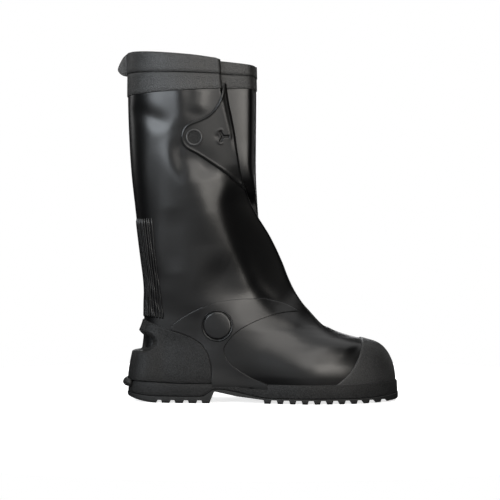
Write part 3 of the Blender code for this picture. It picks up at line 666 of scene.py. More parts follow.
def plain_object(name: str, points: Array, edges: Sequence[tuple[int, int]] = (),
                 faces: Sequence[Sequence[int]] = ()) -> Thing:
    """Undressed mesh object.

    Args:
        name: the object's name.
        points: millimetres on the last's lines.
        edges: indices of each loose edge's points.
        faces: indices of each face's points, outward.

    Returns:
        The object, linked to the scene.
    """
    mesh = bpy.data.meshes.new(name)
    mesh.from_pydata(((points + SHIFT) * MM).tolist(), list(edges), [tuple(f) for f in faces])
    return link(name, mesh)


def shade(thing: Thing, crisp: float | None) -> None:
    """Shade an object smooth, with its edges past an angle in degrees, if any, kept sharp.

    Args:
        thing: the object.
        crisp: the angle, or None.
    """
    thing.data.shade_smooth()
    if crisp is not None:
        thing.data.set_sharp_from_angle(angle=math.radians(crisp))


def make_object(name: str, points: Array, faces: Sequence[Sequence[int]],
                finish: Material, crisp: float | None = None) -> Thing:
    """Dressed mesh object, shaded smooth.

    Args:
        name: the piece's name.
        points: millimetres on the last's lines.
        faces: indices of each face's points, outward.
        finish: its material.
        crisp: angle in degrees past which an edge stays sharp, or None.

    Returns:
        The object, linked to the scene.
    """
    thing = plain_object(name, points, faces=faces)
    thing.data.validate()
    thing.data.materials.append(finish)
    shade(thing, crisp)
    return thing


def settle(thing: Thing, slot: str, *nodes: str) -> Thing:
    """Let a finished piece ride on the boot and stand for its nodes.

    Args:
        thing: the piece.
        slot: a slot name for the material; not used.
        *nodes: names of the solids that it replaces.

    Returns:
        The same piece.
    """
    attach(thing, BODY)
    if nodes:
        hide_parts(*nodes)
    thing.data.calc_loop_triangles()
    LOG.info("%s: %d triangles", thing.name, len(thing.data.loop_triangles))
    return thing


def bake(thing: Thing) -> Thing:
    """Turn an object's live modifiers into its plain mesh.

    Args:
        thing: the object.

    Returns:
        The same object, without modifiers.
    """
    graph = bpy.context.evaluated_depsgraph_get()
    mesh = bpy.data.meshes.new_from_object(thing.evaluated_get(graph))
    thing.modifiers.clear()
    thing.data = mesh
    return thing


def ring_faces(rings: int, count: int) -> list[tuple[int, ...]]:
    """Quads between closed rings of points that are stacked in order.

    Args:
        rings: number of rings.
        count: points in each ring.

    Returns:
        Indices of each face's points.
    """
    return [(r * count + j, r * count + (j + 1) % count,
             (r + 1) * count + (j + 1) % count, (r + 1) * count + j)
            for r in range(rings - 1) for j in range(count)]


def tube_faces(rings: int, count: int) -> list[tuple[int, ...]]:
    """Quads between stacked rings, and a face over each end.

    Args:
        rings: number of rings.
        count: points in each ring.

    Returns:
        Indices of each face's points.
    """
    first = tuple(reversed(range(count)))
    last = tuple((rings - 1) * count + k for k in range(count))
    return ring_faces(rings, count) + [first, last]


def turned(faces: Sequence[tuple[int, ...]]) -> list[tuple[int, ...]]:
    """The same faces, seen from behind."""
    return [f[::-1] for f in faces]


def slab(name: str, line: Array, half: float, finish: Material,
         clockwise: bool = False) -> Thing:
    """Side-view outline drawn out across the boot to both sides.

    Args:
        name: the object's name.
        line: places along the boot and heights.
        half: reach to each side.
        finish: its material.
        clockwise: whether the outline runs clockwise, seen from the outer side.

    Returns:
        A closed object.
    """
    count = len(line)
    ends = [np.column_stack([line[:, 0], np.full(count, y), line[:, 1]]) for y in (-half, half)]
    faces = [tuple(range(count)), tuple(count + i for i in reversed(range(count)))]
    faces += [(i, count + i, count + (i + 1) % count, (i + 1) % count) for i in range(count)]
    return make_object(name, np.vstack(ends), turned(faces) if clockwise else faces, finish)


def resample(line: Array, pitch: float) -> Array:
    """A closed line's points, with more set evenly between them.

    Args:
        line: corners of the line.
        pitch: wanted step between points.

    Returns:
        The corners and the points between them, in order.
    """
    out = []
    for a, b in zip(line, np.roll(line, -1, 0)):
        steps = max(1, int(round(np.linalg.norm(b - a) / pitch)))
        out += [mix(a, b, i / steps) for i in range(steps)]
    return np.asarray(out)


def mirrored(line: Array) -> Array:
    """A wrapped line and its mirror image, joined to an outline."""
    return np.vstack([line, line[::-1] * np.array([-1.0, 1.0])])


def through(points: Sequence[Sequence[float]], steps: int) -> Array:
    """Smooth open line through points.

    Args:
        points: the points.
        steps: stretches between each two of them.

    Returns:
        Points along the line.
    """
    table = Table(("x", "z"), tuple(tuple(p) for p in points))
    t = np.linspace(0.0, len(points) - 1.0, (len(points) - 1) * steps + 1)
    values = table.sample(t)
    return np.stack([values["x"], values["z"]], -1)


def arc(centre: tuple[float, float], radius: float, first: float, last: float,
        count: int) -> Array:
    """Points of an arc.

    Args:
        centre: its centre.
        radius: its radius.
        first: angle of the first point in degrees.
        last: angle of the last point in degrees.
        count: number of points.

    Returns:
        The points in order.
    """
    a = np.radians(np.linspace(first, last, count))
    return np.stack([centre[0] + radius * np.cos(a), centre[1] + radius * np.sin(a)], -1)


def inside(points: Array, loop: Array) -> Array:
    """Whether points lie in a closed outline.

    Args:
        points: flat points.
        loop: corners of the outline.

    Returns:
        True or False for each point.
    """
    within = np.zeros(len(points), bool)
    for (x0, y0), (x1, y1) in zip(loop, np.roll(loop, -1, 0)):
        crosses = (y0 > points[:, 1]) != (y1 > points[:, 1])
        rise = y1 - y0 if abs(y1 - y0) > TINY else TINY
        within ^= crosses & (points[:, 0] < x0 + (points[:, 1] - y0) * (x1 - x0) / rise)
    return within


def edge_distance(points: Array, loops: Sequence[Array]) -> Array:
    """Distance from points to the nearest outline.

    Args:
        points: flat points.
        loops: corners of each closed outline.

    Returns:
        One distance for each point.
    """
    nearest = np.full(len(points), FAR)
    for loop in loops:
        for a, b in zip(loop, np.roll(loop, -1, 0)):
            run = b - a
            f = np.clip((points - a) @ run / max(run @ run, TINY), 0.0, 1.0)
            nearest = np.minimum(nearest, np.linalg.norm(points - a - f[:, None] * run, axis=1))
    return nearest


@dataclass
class RaisedPanel:
    """Panel that stands a little proud of the wall, from a flat outline and a spreading rule."""

    name: str
    outline: Array
    spread: Callable[[Array], tuple[Array, Array]]
    rise: Callable[[Array, Array], Array]
    holes: tuple[Array, ...] = ()
    pitch: float = 2.0
    hole_pitch: float = 0.5
    rings: tuple[float, ...] = (0.06, 0.25, 0.55, 0.9)
    sink: float = 0.35
    crisp: float = 50.0

    def loops(self) -> list[Array]:
        """Outline and holes with even points."""
        rim = resample(self.outline, 0.6 * self.pitch)
        return [rim] + [resample(hole, self.hole_pitch) for hole in self.holes]

    @staticmethod
    def within(points: Array, loops: list[Array]) -> Array:
        """Whether points lie in the outline and out of every hole."""
        return inside(points, loops[0]) & ~np.any([inside(points, h) for h in loops[1:]], axis=0)

    def flat_points(self, loops: list[Array]) -> Array:
        """Points that follow the edges at set depths, and a staggered field between them.

        Args:
            loops: the outline, then the holes.

        Returns:
            Flat points within the panel.
        """
        found = []
        for loop in loops:
            run = unit(np.roll(loop, -1, 0) - np.roll(loop, 1, 0))
            across = np.stack([-run[:, 1], run[:, 0]], -1)
            for depth in self.rings:
                for way in (depth, -depth):
                    found.append((loop + across * way, 0.97 * depth))
        low = loops[0].min(0)
        high = loops[0].max(0)
        xs = np.arange(low[0], high[0], self.pitch)
        ys = np.arange(low[1], high[1], self.pitch * STAGGER)
        field_points = np.array([(x + 0.5 * self.pitch * (k % 2), y)
                                 for k, y in enumerate(ys) for x in xs])
        found.append((field_points, self.rings[-1] + 0.45 * self.pitch))
        kept = []
        for points, clear in found:
            points = points[self.within(points, loops)]
            kept.append(points[edge_distance(points, loops) >= clear])
        return np.vstack(kept)

    def build(self, finish: Material) -> Thing:
        """Mesh of the panel.

        Args:
            finish: its material.

        Returns:
            A closed object whose back lies a little under the wall's face.
        """
        loops = self.loops()
        points = np.vstack(loops + [self.flat_points(loops)])
        edges = []
        first = 0
        for loop in loops:
            edges += [(first + i, first + (i + 1) % len(loop)) for i in range(len(loop))]
            first += len(loop)
        made = delaunay_2d_cdt([Vector(p) for p in points], edges, [], 0, 1e-4)
        flat = np.array([tuple(p) for p in made[0]])
        faces = np.array([f for f in made[2] if len(f) == 3])
        faces = faces[self.within(flat[faces].mean(1), loops)]
        base, out = self.spread(flat)
        front = base + out * self.rise(flat, edge_distance(flat, loops))[:, None]
        back = base - out * self.sink
        a, b, c = (front[faces[:, k]] for k in range(3))
        facing = np.einsum("ij,ij->i", np.cross(b - a, c - a), out[faces[:, 0]]).sum()
        if facing < 0.0:
            faces = faces[:, ::-1]
        count = len(flat)
        solid = [tuple(f) for f in faces] + [tuple(count + i for i in f[::-1]) for f in faces]
        used = {(int(f[k]), int(f[(k + 1) % 3])) for f in faces for k in range(3)}
        solid += [(q, p, count + p, count + q) for p, q in used if (q, p) not in used]
        return make_object(self.name, np.vstack([front, back]), solid, finish, self.crisp)


def edge_drop(depth: Array, radius: float) -> Array:
    """How far a rounded edge falls away at a depth from the outline."""
    d = np.minimum(depth, radius)
    return radius - np.sqrt(np.maximum(radius ** 2 - (radius - d) ** 2, 0.0))


def rounded(thick: float, radius: float) -> Callable[[Array, Array], Array]:
    """Rise of a panel of one thickness with a rounded edge.

    Args:
        thick: the panel's height over the wall.
        radius: its edge's radius.

    Returns:
        A function of flat points and their depths from the outline.
    """
    return lambda _, depth: thick - edge_drop(depth, radius)


@dataclass
class Upper:
    """Hollow foot and shaft with the folded gusset, in one wall."""

    wall: float = 2.2
    rim_roll: float = 0.6
    steps: tuple[int, ...] = (4, 6, 6, 6, 6, 6, 8, 22, 14, 12, 12, 14, 14, 16, 16, 18, 20)
    plain_columns: int = 146
    fold_columns: tuple[tuple[float, float, int], ...] = (
        (0.0, OUTER_END, 16), (OUTER_END, CREST_END, 14), (CREST_END, MIDDLE_END, 10),
        (MIDDLE_END, POCKET_END, 8), (POCKET_END, FOLD_END, 30))

    def rows(self) -> Array:
        """Rows, closer together where the pleat rises out of the vamp."""
        parts = [np.linspace(i, i + 1, n, endpoint=False) for i, n in enumerate(self.steps)]
        return np.append(np.concatenate(parts), RIM_ROW)

    def columns(self) -> Array:
        """Columns, closer together round the pleat's turns.

        Returns:
            Columns in order round the wall.
        """
        parts = [np.linspace(a, b, n, endpoint=False) for a, b, n in self.fold_columns]
        parts.append(np.linspace(FOLD_END, COLUMNS, self.plain_columns, endpoint=False))
        return np.concatenate(parts)

    def faces_and_points(self) -> tuple[Array, list[tuple[int, ...]]]:
        """Outer face as points and quads.

        Returns:
            The points and the faces.
        """
        v, j = np.meshgrid(self.rows(), self.columns(), indexing="ij")
        points = LAST.place(v, j)
        return points, ring_faces(*points.shape[:2])

    def build(self, finish: Material) -> Thing:
        """Closed wall: outer face, rolled rim, inner face and the edge under the foot.

        Args:
            finish: its material.

        Returns:
            The wall as one object.
        """
        outer, quads = self.faces_and_points()
        up = np.gradient(outer, axis=0)
        around = np.roll(outer, -1, 1) - np.roll(outer, 1, 1)
        inner = outer - unit(np.cross(around, up)) * self.wall
        rings, count = outer.shape[:2]
        rim = 0.5 * (outer[-1] + inner[-1]) + np.array([0.0, 0.0, self.rim_roll])
        points = np.vstack([outer.reshape(-1, 3), inner.reshape(-1, 3), rim])
        half = rings * count
        faces = list(quads) + [tuple(half + i for i in q[::-1]) for q in quads]
        top = half - count
        for j in range(count):
            k = (j + 1) % count
            faces.append((top + j, top + k, 2 * half + k, 2 * half + j))
            faces.append((2 * half + j, 2 * half + k, half + top + k, half + top + j))
            faces.append((k, j, half + j, half + k))
        return make_object("upper_wall", points, faces, finish)


class OuterFace:
    """Finds the outer wall behind a side-view point, pleat included."""

    start_y: ClassVar[float] = -200.0

    def __init__(self, upper: Upper) -> None:
        """Keep a search tree of the upper's outer face."""
        points, quads = upper.faces_and_points()
        self.tree = BVHTree.FromPolygons(points.reshape(-1, 3).tolist(), quads)

    def y(self, x: float, z: float) -> float:
        """Place across the boot where a line from the outer side meets the wall, or its middle."""
        hit = self.tree.ray_cast(Vector((x, self.start_y, z)), Vector((0.0, 1.0, 0.0)))
        return hit[0].y if hit[0] is not None else 0.0


@dataclass
class Saddle:
    """Low raised ankle panel between the counter, the gusset and the vamp."""

    side: Side
    thick: float = 0.8
    edge: float = 0.7
    counter_clear: float = GAP
    pitch: float = 2.2
    brow_first: float = -106.0
    brow_last: float = 8.0
    brow_z: float = 127.0
    brow_fall: float = 28.5
    brow_power: float = 2.6
    skirt_x: float = 14.0
    skirt_z: float = 13.0
    skirt_heights: tuple[float, ...] = (13.0, 22.0, 27.0)
    skirt_lifts: tuple[float, ...] = (-0.5, 0.25, 0.2)
    blend: Span = (44.0, 24.0)
    crest: Line = ((8.0, 127.0), (24.0, 120.5), (40.0, 111.5))
    nose: Line = (
        (40.0, 111.5), (8.2, 103.8), (-22.0, 89.3), (-36.6, 74.9), (-41.4, 62.8), (-33.0, 47.5),
        (-10.0, 32.0), (3.0, 27.0), (11.0, 24.0))

    def outline(self) -> Array:
        """Side-view outline: brow, nose, skirt over the foxing, counter's edge.

        Returns:
            Side-view points in order.
        """
        x = np.linspace(self.brow_first, self.brow_last, 40)
        fall = self.brow_fall * (np.abs(np.minimum(x, 0.0)) / 100.0) ** self.brow_power
        brow = np.stack([x, self.brow_z - fall], -1)
        crest = through(self.crest, 6)[1:-1]
        nose = through(self.nose, 8)
        counter = through(HeelCounter.front[:-1], 6)
        run = unit(np.gradient(counter, axis=0))
        counter = counter + self.counter_clear * np.column_stack([run[:, 1], -run[:, 0]])
        skirt = np.array([(self.skirt_x, self.skirt_z), (counter[0, 0], self.skirt_z)])
        return np.vstack([brow, crest, nose, skirt, counter])

    def flush(self, points: Array, base: Array) -> Array:
        """Height over the wall at which the panel is level with the foxing's face.

        Args:
            points: side-view points.
            base: the wall's points behind them.

        Returns:
            Heights in millimetres.
        """
        angles = np.linspace(1.0, 179.0, 400)
        sole = Sole.outline(-self.side.value * angles, Sole.foxing_inset)
        order = np.argsort(sole[:, 0])
        face = np.interp(points[:, 0], sole[order, 0], sole[order, 1])
        return self.side.value * (face - base[:, 1])

    def build(self, finish: Material) -> Thing:
        """Panel whose skirt runs smoothly into the foxing.

        Args:
            finish: its material.

        Returns:
            The panel.
        """
        profile = rounded(self.thick, self.edge)

        def rise(points: Array, depth: Array) -> Array:
            """Panel height that grows to the foxing's face at the skirt.

            Args:
                points: side-view points.
                depth: how far inside the edge they are.

            Returns:
                Heights over the wall.
            """
            base, _ = LAST.side_place(points, self.side)
            z = points[:, 1]
            level = self.flush(points, base) + np.interp(z, self.skirt_heights, self.skirt_lifts)
            return mix(profile(points, depth), level, smooth(*self.blend, z))

        name = "saddle_" + self.side.name.lower() + "_panel"
        return RaisedPanel(name, self.outline(), lambda p: LAST.side_place(p, self.side), rise,
                           pitch=self.pitch).build(finish)


@dataclass
class AnkleDisc:
    """Plain round boss on the outer saddle, with a ring near its edge."""

    x: float = -49.6
    z: float = 94.2
    radius: float = 19.4
    lift: float = 0.7
    rim_height: float = 1.3
    rim_round: float = 0.9
    ring_radius: float = 17.0
    groove: float = 0.9
    groove_width: float = 0.7
    dome: float = 0.55
    pitch: float = 1.5
    depths: tuple[float, ...] = (0.1, 0.3, 0.6, 0.9, 1.4, 1.7, 1.95, 2.2, 2.45, 2.7, 3.1, 3.6)

    def build(self, finish: Material) -> Thing:
        """Boss with a rounded rim, a groove and a gently domed face.

        Args:
            finish: its material.

        Returns:
            The boss.
        """

        def rise(points: Array, depth: Array) -> Array:
            """Height over the wall at a distance from the middle.

            Args:
                points: side-view points.
                depth: how far inside the edge they are.

            Returns:
                Heights over the wall.
            """
            r = np.hypot(points[:, 0] - self.x, points[:, 1] - self.z)
            edge = np.sqrt(np.clip(depth / self.rim_round, 0.0, 1.0))
            dome = self.dome * (1.0 - np.clip(r / self.ring_radius, 0.0, 1.0) ** 2)
            groove = self.groove * np.exp(-(((r - self.ring_radius) / self.groove_width) ** 2))
            return self.lift + self.rim_height * edge + dome - groove

        outline = arc((self.x, self.z), self.radius, 0.0, 356.0, 90)
        return RaisedPanel("ankle_boss", outline, lambda p: LAST.side_place(p, Side.OUTER), rise,
                           pitch=self.pitch, rings=self.depths).build(finish)


def wrap_place(points: Array, middle: float, turn: float, step: float) -> tuple[Array, Array]:
    """Spread flat points round the toe or the heel.

    Args:
        points: flat points; across is an angle scaled by turn, up is a row scaled by step.
        middle: angle at which across is 0.
        turn: millimetres for each degree.
        step: millimetres for each row.

    Returns:
        Points and normals of the wall.
    """
    v = np.clip(points[:, 1] / step, 0.0, RIM_ROW)
    j = LAST.column(v, middle + points[:, 0] / turn)
    return LAST.place(v, j), LAST.normal(v, j)


def wrap_line(line: Array, middle: float, turn: float, step: float) -> Array:
    """Flat wrapped points of a side-view line.

    Args:
        line: places along the boot and heights.
        middle: angle at which across is 0.
        turn: millimetres for each degree.
        step: millimetres for each row.

    Returns:
        Flat points, on the outer side.
    """
    v = LAST.row_for(line[:, 0], line[:, 1])
    across = LAST.angle_for(v, line[:, 0]) - middle
    return np.stack([across * turn, v * step], -1)


@dataclass
class ToeCap:
    """Grained cap round the toe, edged by an arc in side view."""

    arc_x: float = 55.0
    arc_z: float = 85.0
    arc_radius: float = 73.0
    arc_first: float = -58.0
    arc_last: float = -6.4
    thick: float = 1.5
    edge: float = 0.9
    turn: float = 1.5
    step: float = 14.0
    low_row: float = 0.35

    def outline(self) -> Array:
        """Wrapped outline from the outer foot of the arc over the ridge to the inner foot.

        Returns:
            Flat points in order.
        """
        line = arc((self.arc_x, self.arc_z), self.arc_radius, self.arc_first, self.arc_last, 60)
        outer = wrap_line(line, TOE, self.turn, self.step)
        outer = outer[outer[:, 1] > self.low_row * self.step]
        foot = np.array([[outer[0, 0], self.low_row * self.step]])
        return mirrored(np.vstack([foot, outer]))

    def build(self, finish: Material) -> Thing:
        """Cap with a rounded edge.

        Args:
            finish: its material.

        Returns:
            The cap.
        """
        return RaisedPanel("toe_cap_skin", self.outline(),
                           lambda p: wrap_place(p, TOE, self.turn, self.step),
                           rounded(self.thick, self.edge)).build(finish)


@dataclass
class HeelCounter:
    """Grained counter with a deep ledge at the back and a scooped cross slot above it."""

    front: ClassVar[Line] = (
        (-56.6, 24.0), (-56.8, 40.5), (-58.4, 50.3), (-60.9, 58.2), (-64.5, 64.9), (-70.6, 72.2),
        (-82.7, 79.5), (-94.9, 84.1), (-107.0, 87.6), (-119.0, 92.0))
    crown: Line = (
        (-107.0, 87.6), (-119.0, 92.0), (-131.0, 97.0), (-138.0, 99.6), (-141.6, 100.8))
    thin: float = 1.1
    ledge: float = 11.4
    edge: float = 0.9
    slot_x: float = -137.0
    slot_z: float = 73.5
    slot_radius: float = 7.5
    scoop: float = 6.0
    scoop_power: float = 2.2
    scoop_span: Span = (68.0, 80.0)
    back_span: Span = (-112.0, -146.0)
    ledge_span: Span = (106.0, 68.0)
    foot_x: float = -152.0
    foot_stretch: float = 1.06
    foot_clear: float = 0.15
    turn: float = 0.95
    step: float = 13.0
    pitch: float = 1.9
    edge_pitch: float = 0.8

    def outline(self) -> Array:
        """Wrapped outline: along the foxing, up the front edge and over the crown, on both sides.

        Returns:
            Flat points in order.
        """
        x = np.linspace(self.foot_x, self.front[0][0] - 1.0, 60)
        foot = np.column_stack([x, foxing_top_z(x * self.foot_stretch) + self.foot_clear])
        line = np.vstack([foot, through(self.front, 6)[:-7], through(self.crown, 6)])
        outer = wrap_line(line, HEEL, self.turn, self.step)
        outer[[0, -1], 0] = 0.0
        return np.vstack([outer, outer[-2:0:-1] * np.array([-1.0, 1.0])])

    def slot(self) -> Array:
        """Wrapped outline of the slot's floor, where the wall shows."""
        line = arc((self.slot_x, self.slot_z), self.slot_radius, -90.0, 90.0, 40)
        return mirrored(wrap_line(line, HEEL, self.turn, self.step))

    def thickness(self, base: Array) -> Array:
        """Thin on the sides, deep at the back below the slot, tapering to a lip above it."""
        back = smooth(*self.back_span, base[:, 0])
        return self.thin + (self.ledge - self.thin) * back * smooth(*self.ledge_span, base[:, 2])

    def build(self, finish: Material) -> Thing:
        """Counter whose slot is scooped down to the wall.

        Args:
            finish: its material.

        Returns:
            The counter.
        """
        rim = resample(self.outline(), self.edge_pitch)
        slot = resample(self.slot(), self.edge_pitch)

        def rise(points: Array, _: Array) -> Array:
            """Thickness with a rounded rim, hollowed towards the slot.

            Args:
                points: flat points.
                depth: how far inside the edge they are; not used.

            Returns:
                Heights over the wall.
            """
            base, _ = wrap_place(points, HEEL, self.turn, self.step)
            drop = edge_drop(edge_distance(points, [rim]), self.edge)
            near = np.clip(edge_distance(points, [slot]) / self.scoop, 0.0, 1.0)
            bend = near ** mix(self.scoop_power, 1.0, smooth(*self.scoop_span, base[:, 2]))
            return (self.thickness(base) - drop) * bend

        return RaisedPanel("heel_counter_skin", self.outline(),
                           lambda p: wrap_place(p, HEEL, self.turn, self.step), rise,
                           holes=(self.slot(),), pitch=self.pitch).build(finish)


@dataclass
class Cuff:
    """Grained collar band that runs from the inner layer round the back to the crest."""

    name: str
    low: tuple[float, float]
    high: tuple[float, float]
    thick: float
    first: float = 11.95
    last: float = 56.0
    count: int = 360
    low_row: float = 15.5
    level_row: float = 16.0
    back_x: float = -161.0
    length: float = 158.0
    seat: float = 0.15
    crisp: float = 60.0
    profile: Line = (
        (0.0, -0.4), (0.0, 0.35), (0.012, 0.75), (0.035, 1.0), (0.2, 1.0), (0.4, 1.0), (0.6, 1.0),
        (0.8, 1.0), (0.965, 1.0), (0.988, 0.75), (1.0, 0.35), (1.0, -0.4))

    def edge_rows(self, columns: Array, line: tuple[float, float]) -> Array:
        """Rows at which a line crosses the columns.

        Args:
            columns: columns of the wall.
            line: the line's height at the back and at the front.

        Returns:
            One row for each column.
        """
        rows = np.linspace(self.low_row, RIM_ROW, 80)
        v, j = np.meshgrid(rows, columns, indexing="ij")
        heights = LAST.place(v, j)[..., 2]
        x = LAST.place(np.full(len(columns), self.level_row), columns)[:, 0]
        level = mix(*line, (x - self.back_x) / self.length)
        return np.array([np.interp(z, column, rows) for z, column in zip(level, heights.T)])

    def build(self, finish: Material) -> Thing:
        """Band with rounded edges, closed at both ends.

        Args:
            finish: its material.

        Returns:
            The band.
        """
        columns = np.linspace(self.first, self.last, self.count)
        low = self.edge_rows(columns, self.low)
        high = self.edge_rows(columns, self.high)
        rings = []
        for share, height in self.profile:
            v = mix(low, high, share)
            lift = self.seat + self.thick * height
            rings.append(LAST.place(v, columns) + LAST.normal(v, columns) * lift)
        points = np.asarray(rings).transpose(1, 0, 2).reshape(-1, 3)
        faces = turned(tube_faces(self.count, len(self.profile)))
        return make_object(self.name, points, faces, finish, self.crisp)


@dataclass
class Sole:
    """Outsole with its lip, arch and tread, and the foxing band above it."""

    angles: int = 240
    lug_depth: float = 4.5
    lug_pitch: float = 14.9
    lug_first: float = 11.7
    lug_foot: float = 6.0
    lug_root: float = 8.8
    lug_count: int = 10
    notch_pitch: float = 16.4
    notch_first: float = -120.8
    notch_count: int = 4
    notch_depth: float = 3.6
    notch_root: float = 5.2
    notch_foot: float = 7.4
    arch_outline: Line = (
        (-60.2, -2.0), (-53.4, 14.6), (-25.0, 8.4), (6.4, 4.5), (8.2, -2.0))
    arch_half: float = 90.0
    tread_edge: Line = ((2.0, 0.0), (0.9, 0.5), (0.2, 1.5), (0.0, 2.6))
    lip_edge: Line = ((0.0, -0.5), (0.5, 0.0))
    crisp: float = 32.0
    foxing_inset: float = 1.0
    foxing_row: float = 0.55
    foxing_clear: float = 0.45
    foxing_foot: Line = ((1.5, 0.0), (0.95, 0.35), (0.8, 0.9))
    foxing_middle: Line = ((1.05, 0.0),)
    foxing_crown: Line = ((1.3, -0.9), (1.5, -0.3), (2.0, 0.0))
    foxing_crisp: float = 55.0
    widths: ClassVar[dict[str, float]] = {"heel": 43.5, "waist": 42.5, "ball": 58.5, "toe": 59.5}
    form: ClassVar[dict[str, float]] = {"back_n": 3.4, "front_n": 2.8, "swing": 6.0, "arch": 4.0}

    @staticmethod
    def outline(degrees: Array, inset: float) -> Array:
        """Sole outline in plan.

        Args:
            degrees: angles round the sole.
            inset: how far the outline is drawn in.

        Returns:
            Flat points, one for each angle.
        """
        s = {"back_x": HEEL_END + inset, "front_x": TOE_END - inset, **Sole.form}
        s.update({name: width - inset for name, width in Sole.widths.items()})
        return LAST.oval({k: np.full(np.shape(degrees), x) for k, x in s.items()}, degrees)

    def steps(self, level: Array, edge: Sequence[tuple[float, float]]) -> list[Array]:
        """Rings round the sole, each with its inset and its step up from a level."""
        a = self.turns()
        return [np.column_stack([self.outline(a, inset), level + up]) for inset, up in edge]

    def turns(self) -> Array:
        """Angles round the sole, counter-clockwise from above."""
        return -360.0 * (np.arange(self.angles) + 0.5) / self.angles

    def wall_ring(self, v: float) -> Array:
        """Ring of the upper's wall at the sole's own angles."""
        a = self.turns()
        return LAST.place(np.full(len(a), v), LAST.column(np.full(len(a), v), a))

    def build_outsole(self, finish: Material) -> Thing:
        """Block of lip, core and tread, cut by the arch and the gaps between the lugs.

        Args:
            finish: its material.

        Returns:
            The outsole.
        """
        x = self.outline(self.turns(), 0.0)[:, 0]
        core = self.wall_ring(0.0)
        rings = self.steps(tread_z(x), self.tread_edge) + self.steps(ledge_z(x), self.lip_edge)
        rings += [np.column_stack([core[:, :2], z]) for z in (ledge_z(x), footbed_z(core[:, 0]))]
        count = self.angles
        faces = ring_faces(len(rings), count)
        top = (len(rings) - 1) * count
        for k in range(count // 2 - 1):
            rung = (k, count - 1 - k, count - 2 - k, k + 1)
            faces.append(rung)
            faces.append(tuple(top + i for i in rung[::-1]))
        block = make_object("outsole_tread", np.vstack(rings), faces, finish)
        gaps = TreadGaps()
        self.cut(block, gaps.row("lug_gaps", self.lug_count, self.lug_first + 0.5 * self.lug_pitch,
                                 self.lug_pitch, self.lug_pitch - self.lug_root,
                                 self.lug_pitch - self.lug_foot, self.lug_depth, finish))
        self.cut(block, gaps.row("heel_gaps", self.notch_count, self.notch_first, self.notch_pitch,
                                 self.notch_root, self.notch_foot, self.notch_depth, finish))
        self.cut(block, self.arch_form(finish))
        shade(block, self.crisp)
        return block

    def arch_form(self, finish: Material) -> Thing:
        """Side-view form of the arch, drawn out across the sole."""
        return slab("arch_form", np.asarray(self.arch_outline), self.arch_half, finish, clockwise=True)

    @staticmethod
    def cut(block: Thing, form: Thing) -> None:
        """Cut a form out of the block and drop it.

        Args:
            block: the object that is cut.
            form: the object cut out of it.
        """
        hollow = block.modifiers.new("Cut", "BOOLEAN")
        hollow.operation = "DIFFERENCE"
        hollow.solver = "EXACT"
        hollow.object = form
        bake(block)
        bpy.data.objects.remove(form)

    def build_foxing(self, finish: Material) -> Thing:
        """Side band with a rounded upper edge, a chamfered foot and a closed back.

        Args:
            finish: its material.

        Returns:
            The band.
        """
        x = self.outline(self.turns(), 0.0)[:, 0]
        wall = self.wall_ring(self.foxing_row)
        low = ledge_z(x) + self.foxing_clear
        top = foxing_top_z(x)
        rings = [np.column_stack([wall[:, :2], low])]
        rings += self.steps(low, self.foxing_foot)
        rings += self.steps(0.5 * (low + top), self.foxing_middle)
        rings += self.steps(top, self.foxing_crown)
        rings.append(np.column_stack([wall[:, :2], top]))
        count = self.angles
        faces = ring_faces(len(rings), count)
        last = (len(rings) - 1) * count
        faces += [(last + j, last + (j + 1) % count, (j + 1) % count, j) for j in range(count)]
        return make_object("foxing_skin", np.vstack(rings), faces, finish, self.foxing_crisp)


class NodeDesk:
    """Adds nodes to one node tree."""

    def __init__(self, tree: bpy.types.NodeTree) -> None:
        """Work on a tree."""
        self.tree = tree

    def node(self, kind: str, settings: dict[str, Any] | None = None,
             **sockets: Any) -> bpy.types.Node:
        """Add a node.

        Args:
            kind: the node's type.
            settings: its properties, set first.
            **sockets: a value, a socket or a Value for each input, by its name with _ for spaces.

        Returns:
            The node.
        """
        made = self.tree.nodes.new(kind)
        for name, value in (settings or {}).items():
            setattr(made, name, value)
        return self.fill(made, **sockets)

    def fill(self, node: bpy.types.Node, **sockets: Any) -> bpy.types.Node:
        """Set or link a node's inputs.

        Args:
            node: the node.
            **sockets: a value, a socket or a Value for each input, by its name with _ for spaces.

        Returns:
            The same node.
        """
        for name, value in sockets.items():
            wanted = name.replace("_", " ")
            self.feed(next(i for i in node.inputs if i.enabled and i.name == wanted), value)
        return node

    def feed(self, socket: Socket, value: Any) -> None:
        """Set or link one input.

        Args:
            socket: the input.
            value: a plain value, a socket or a Value.
        """
        if isinstance(value, Value):
            value = value.socket
        if isinstance(value, Socket):
            self.tree.links.new(value, socket)
        else:
            socket.default_value = value

    def value(self, socket: Socket) -> Value:
        """Wrap an output for use in an expression."""
        return Value(self, socket)


@dataclass(frozen=True)
class Value:
    """A number in a node tree; arithmetic on it adds Math nodes."""

    desk: NodeDesk
    socket: Socket

    def math(self, operation: str, first: Any, second: Any) -> Value:
        """Add a Math node.

        Args:
            operation: what it does.
            first: its first number.
            second: its second number.

        Returns:
            The node's result.
        """
        made = self.desk.tree.nodes.new("ShaderNodeMath")
        made.operation = operation
        self.desk.feed(made.inputs[0], first)
        self.desk.feed(made.inputs[1], second)
        return Value(self.desk, made.outputs[0])

    def __add__(self, other: Any) -> Value:
        """Sum."""
        return self.math("ADD", self, other)

    __radd__ = __add__

    def __sub__(self, other: Any) -> Value:
        """Difference."""
        return self.math("SUBTRACT", self, other)

    def __rsub__(self, other: Any) -> Value:
        """Difference from a plain number."""
        return self.math("SUBTRACT", other, self)

    def __mul__(self, other: Any) -> Value:
        """Product."""
        return self.math("MULTIPLY", self, other)

    __rmul__ = __mul__


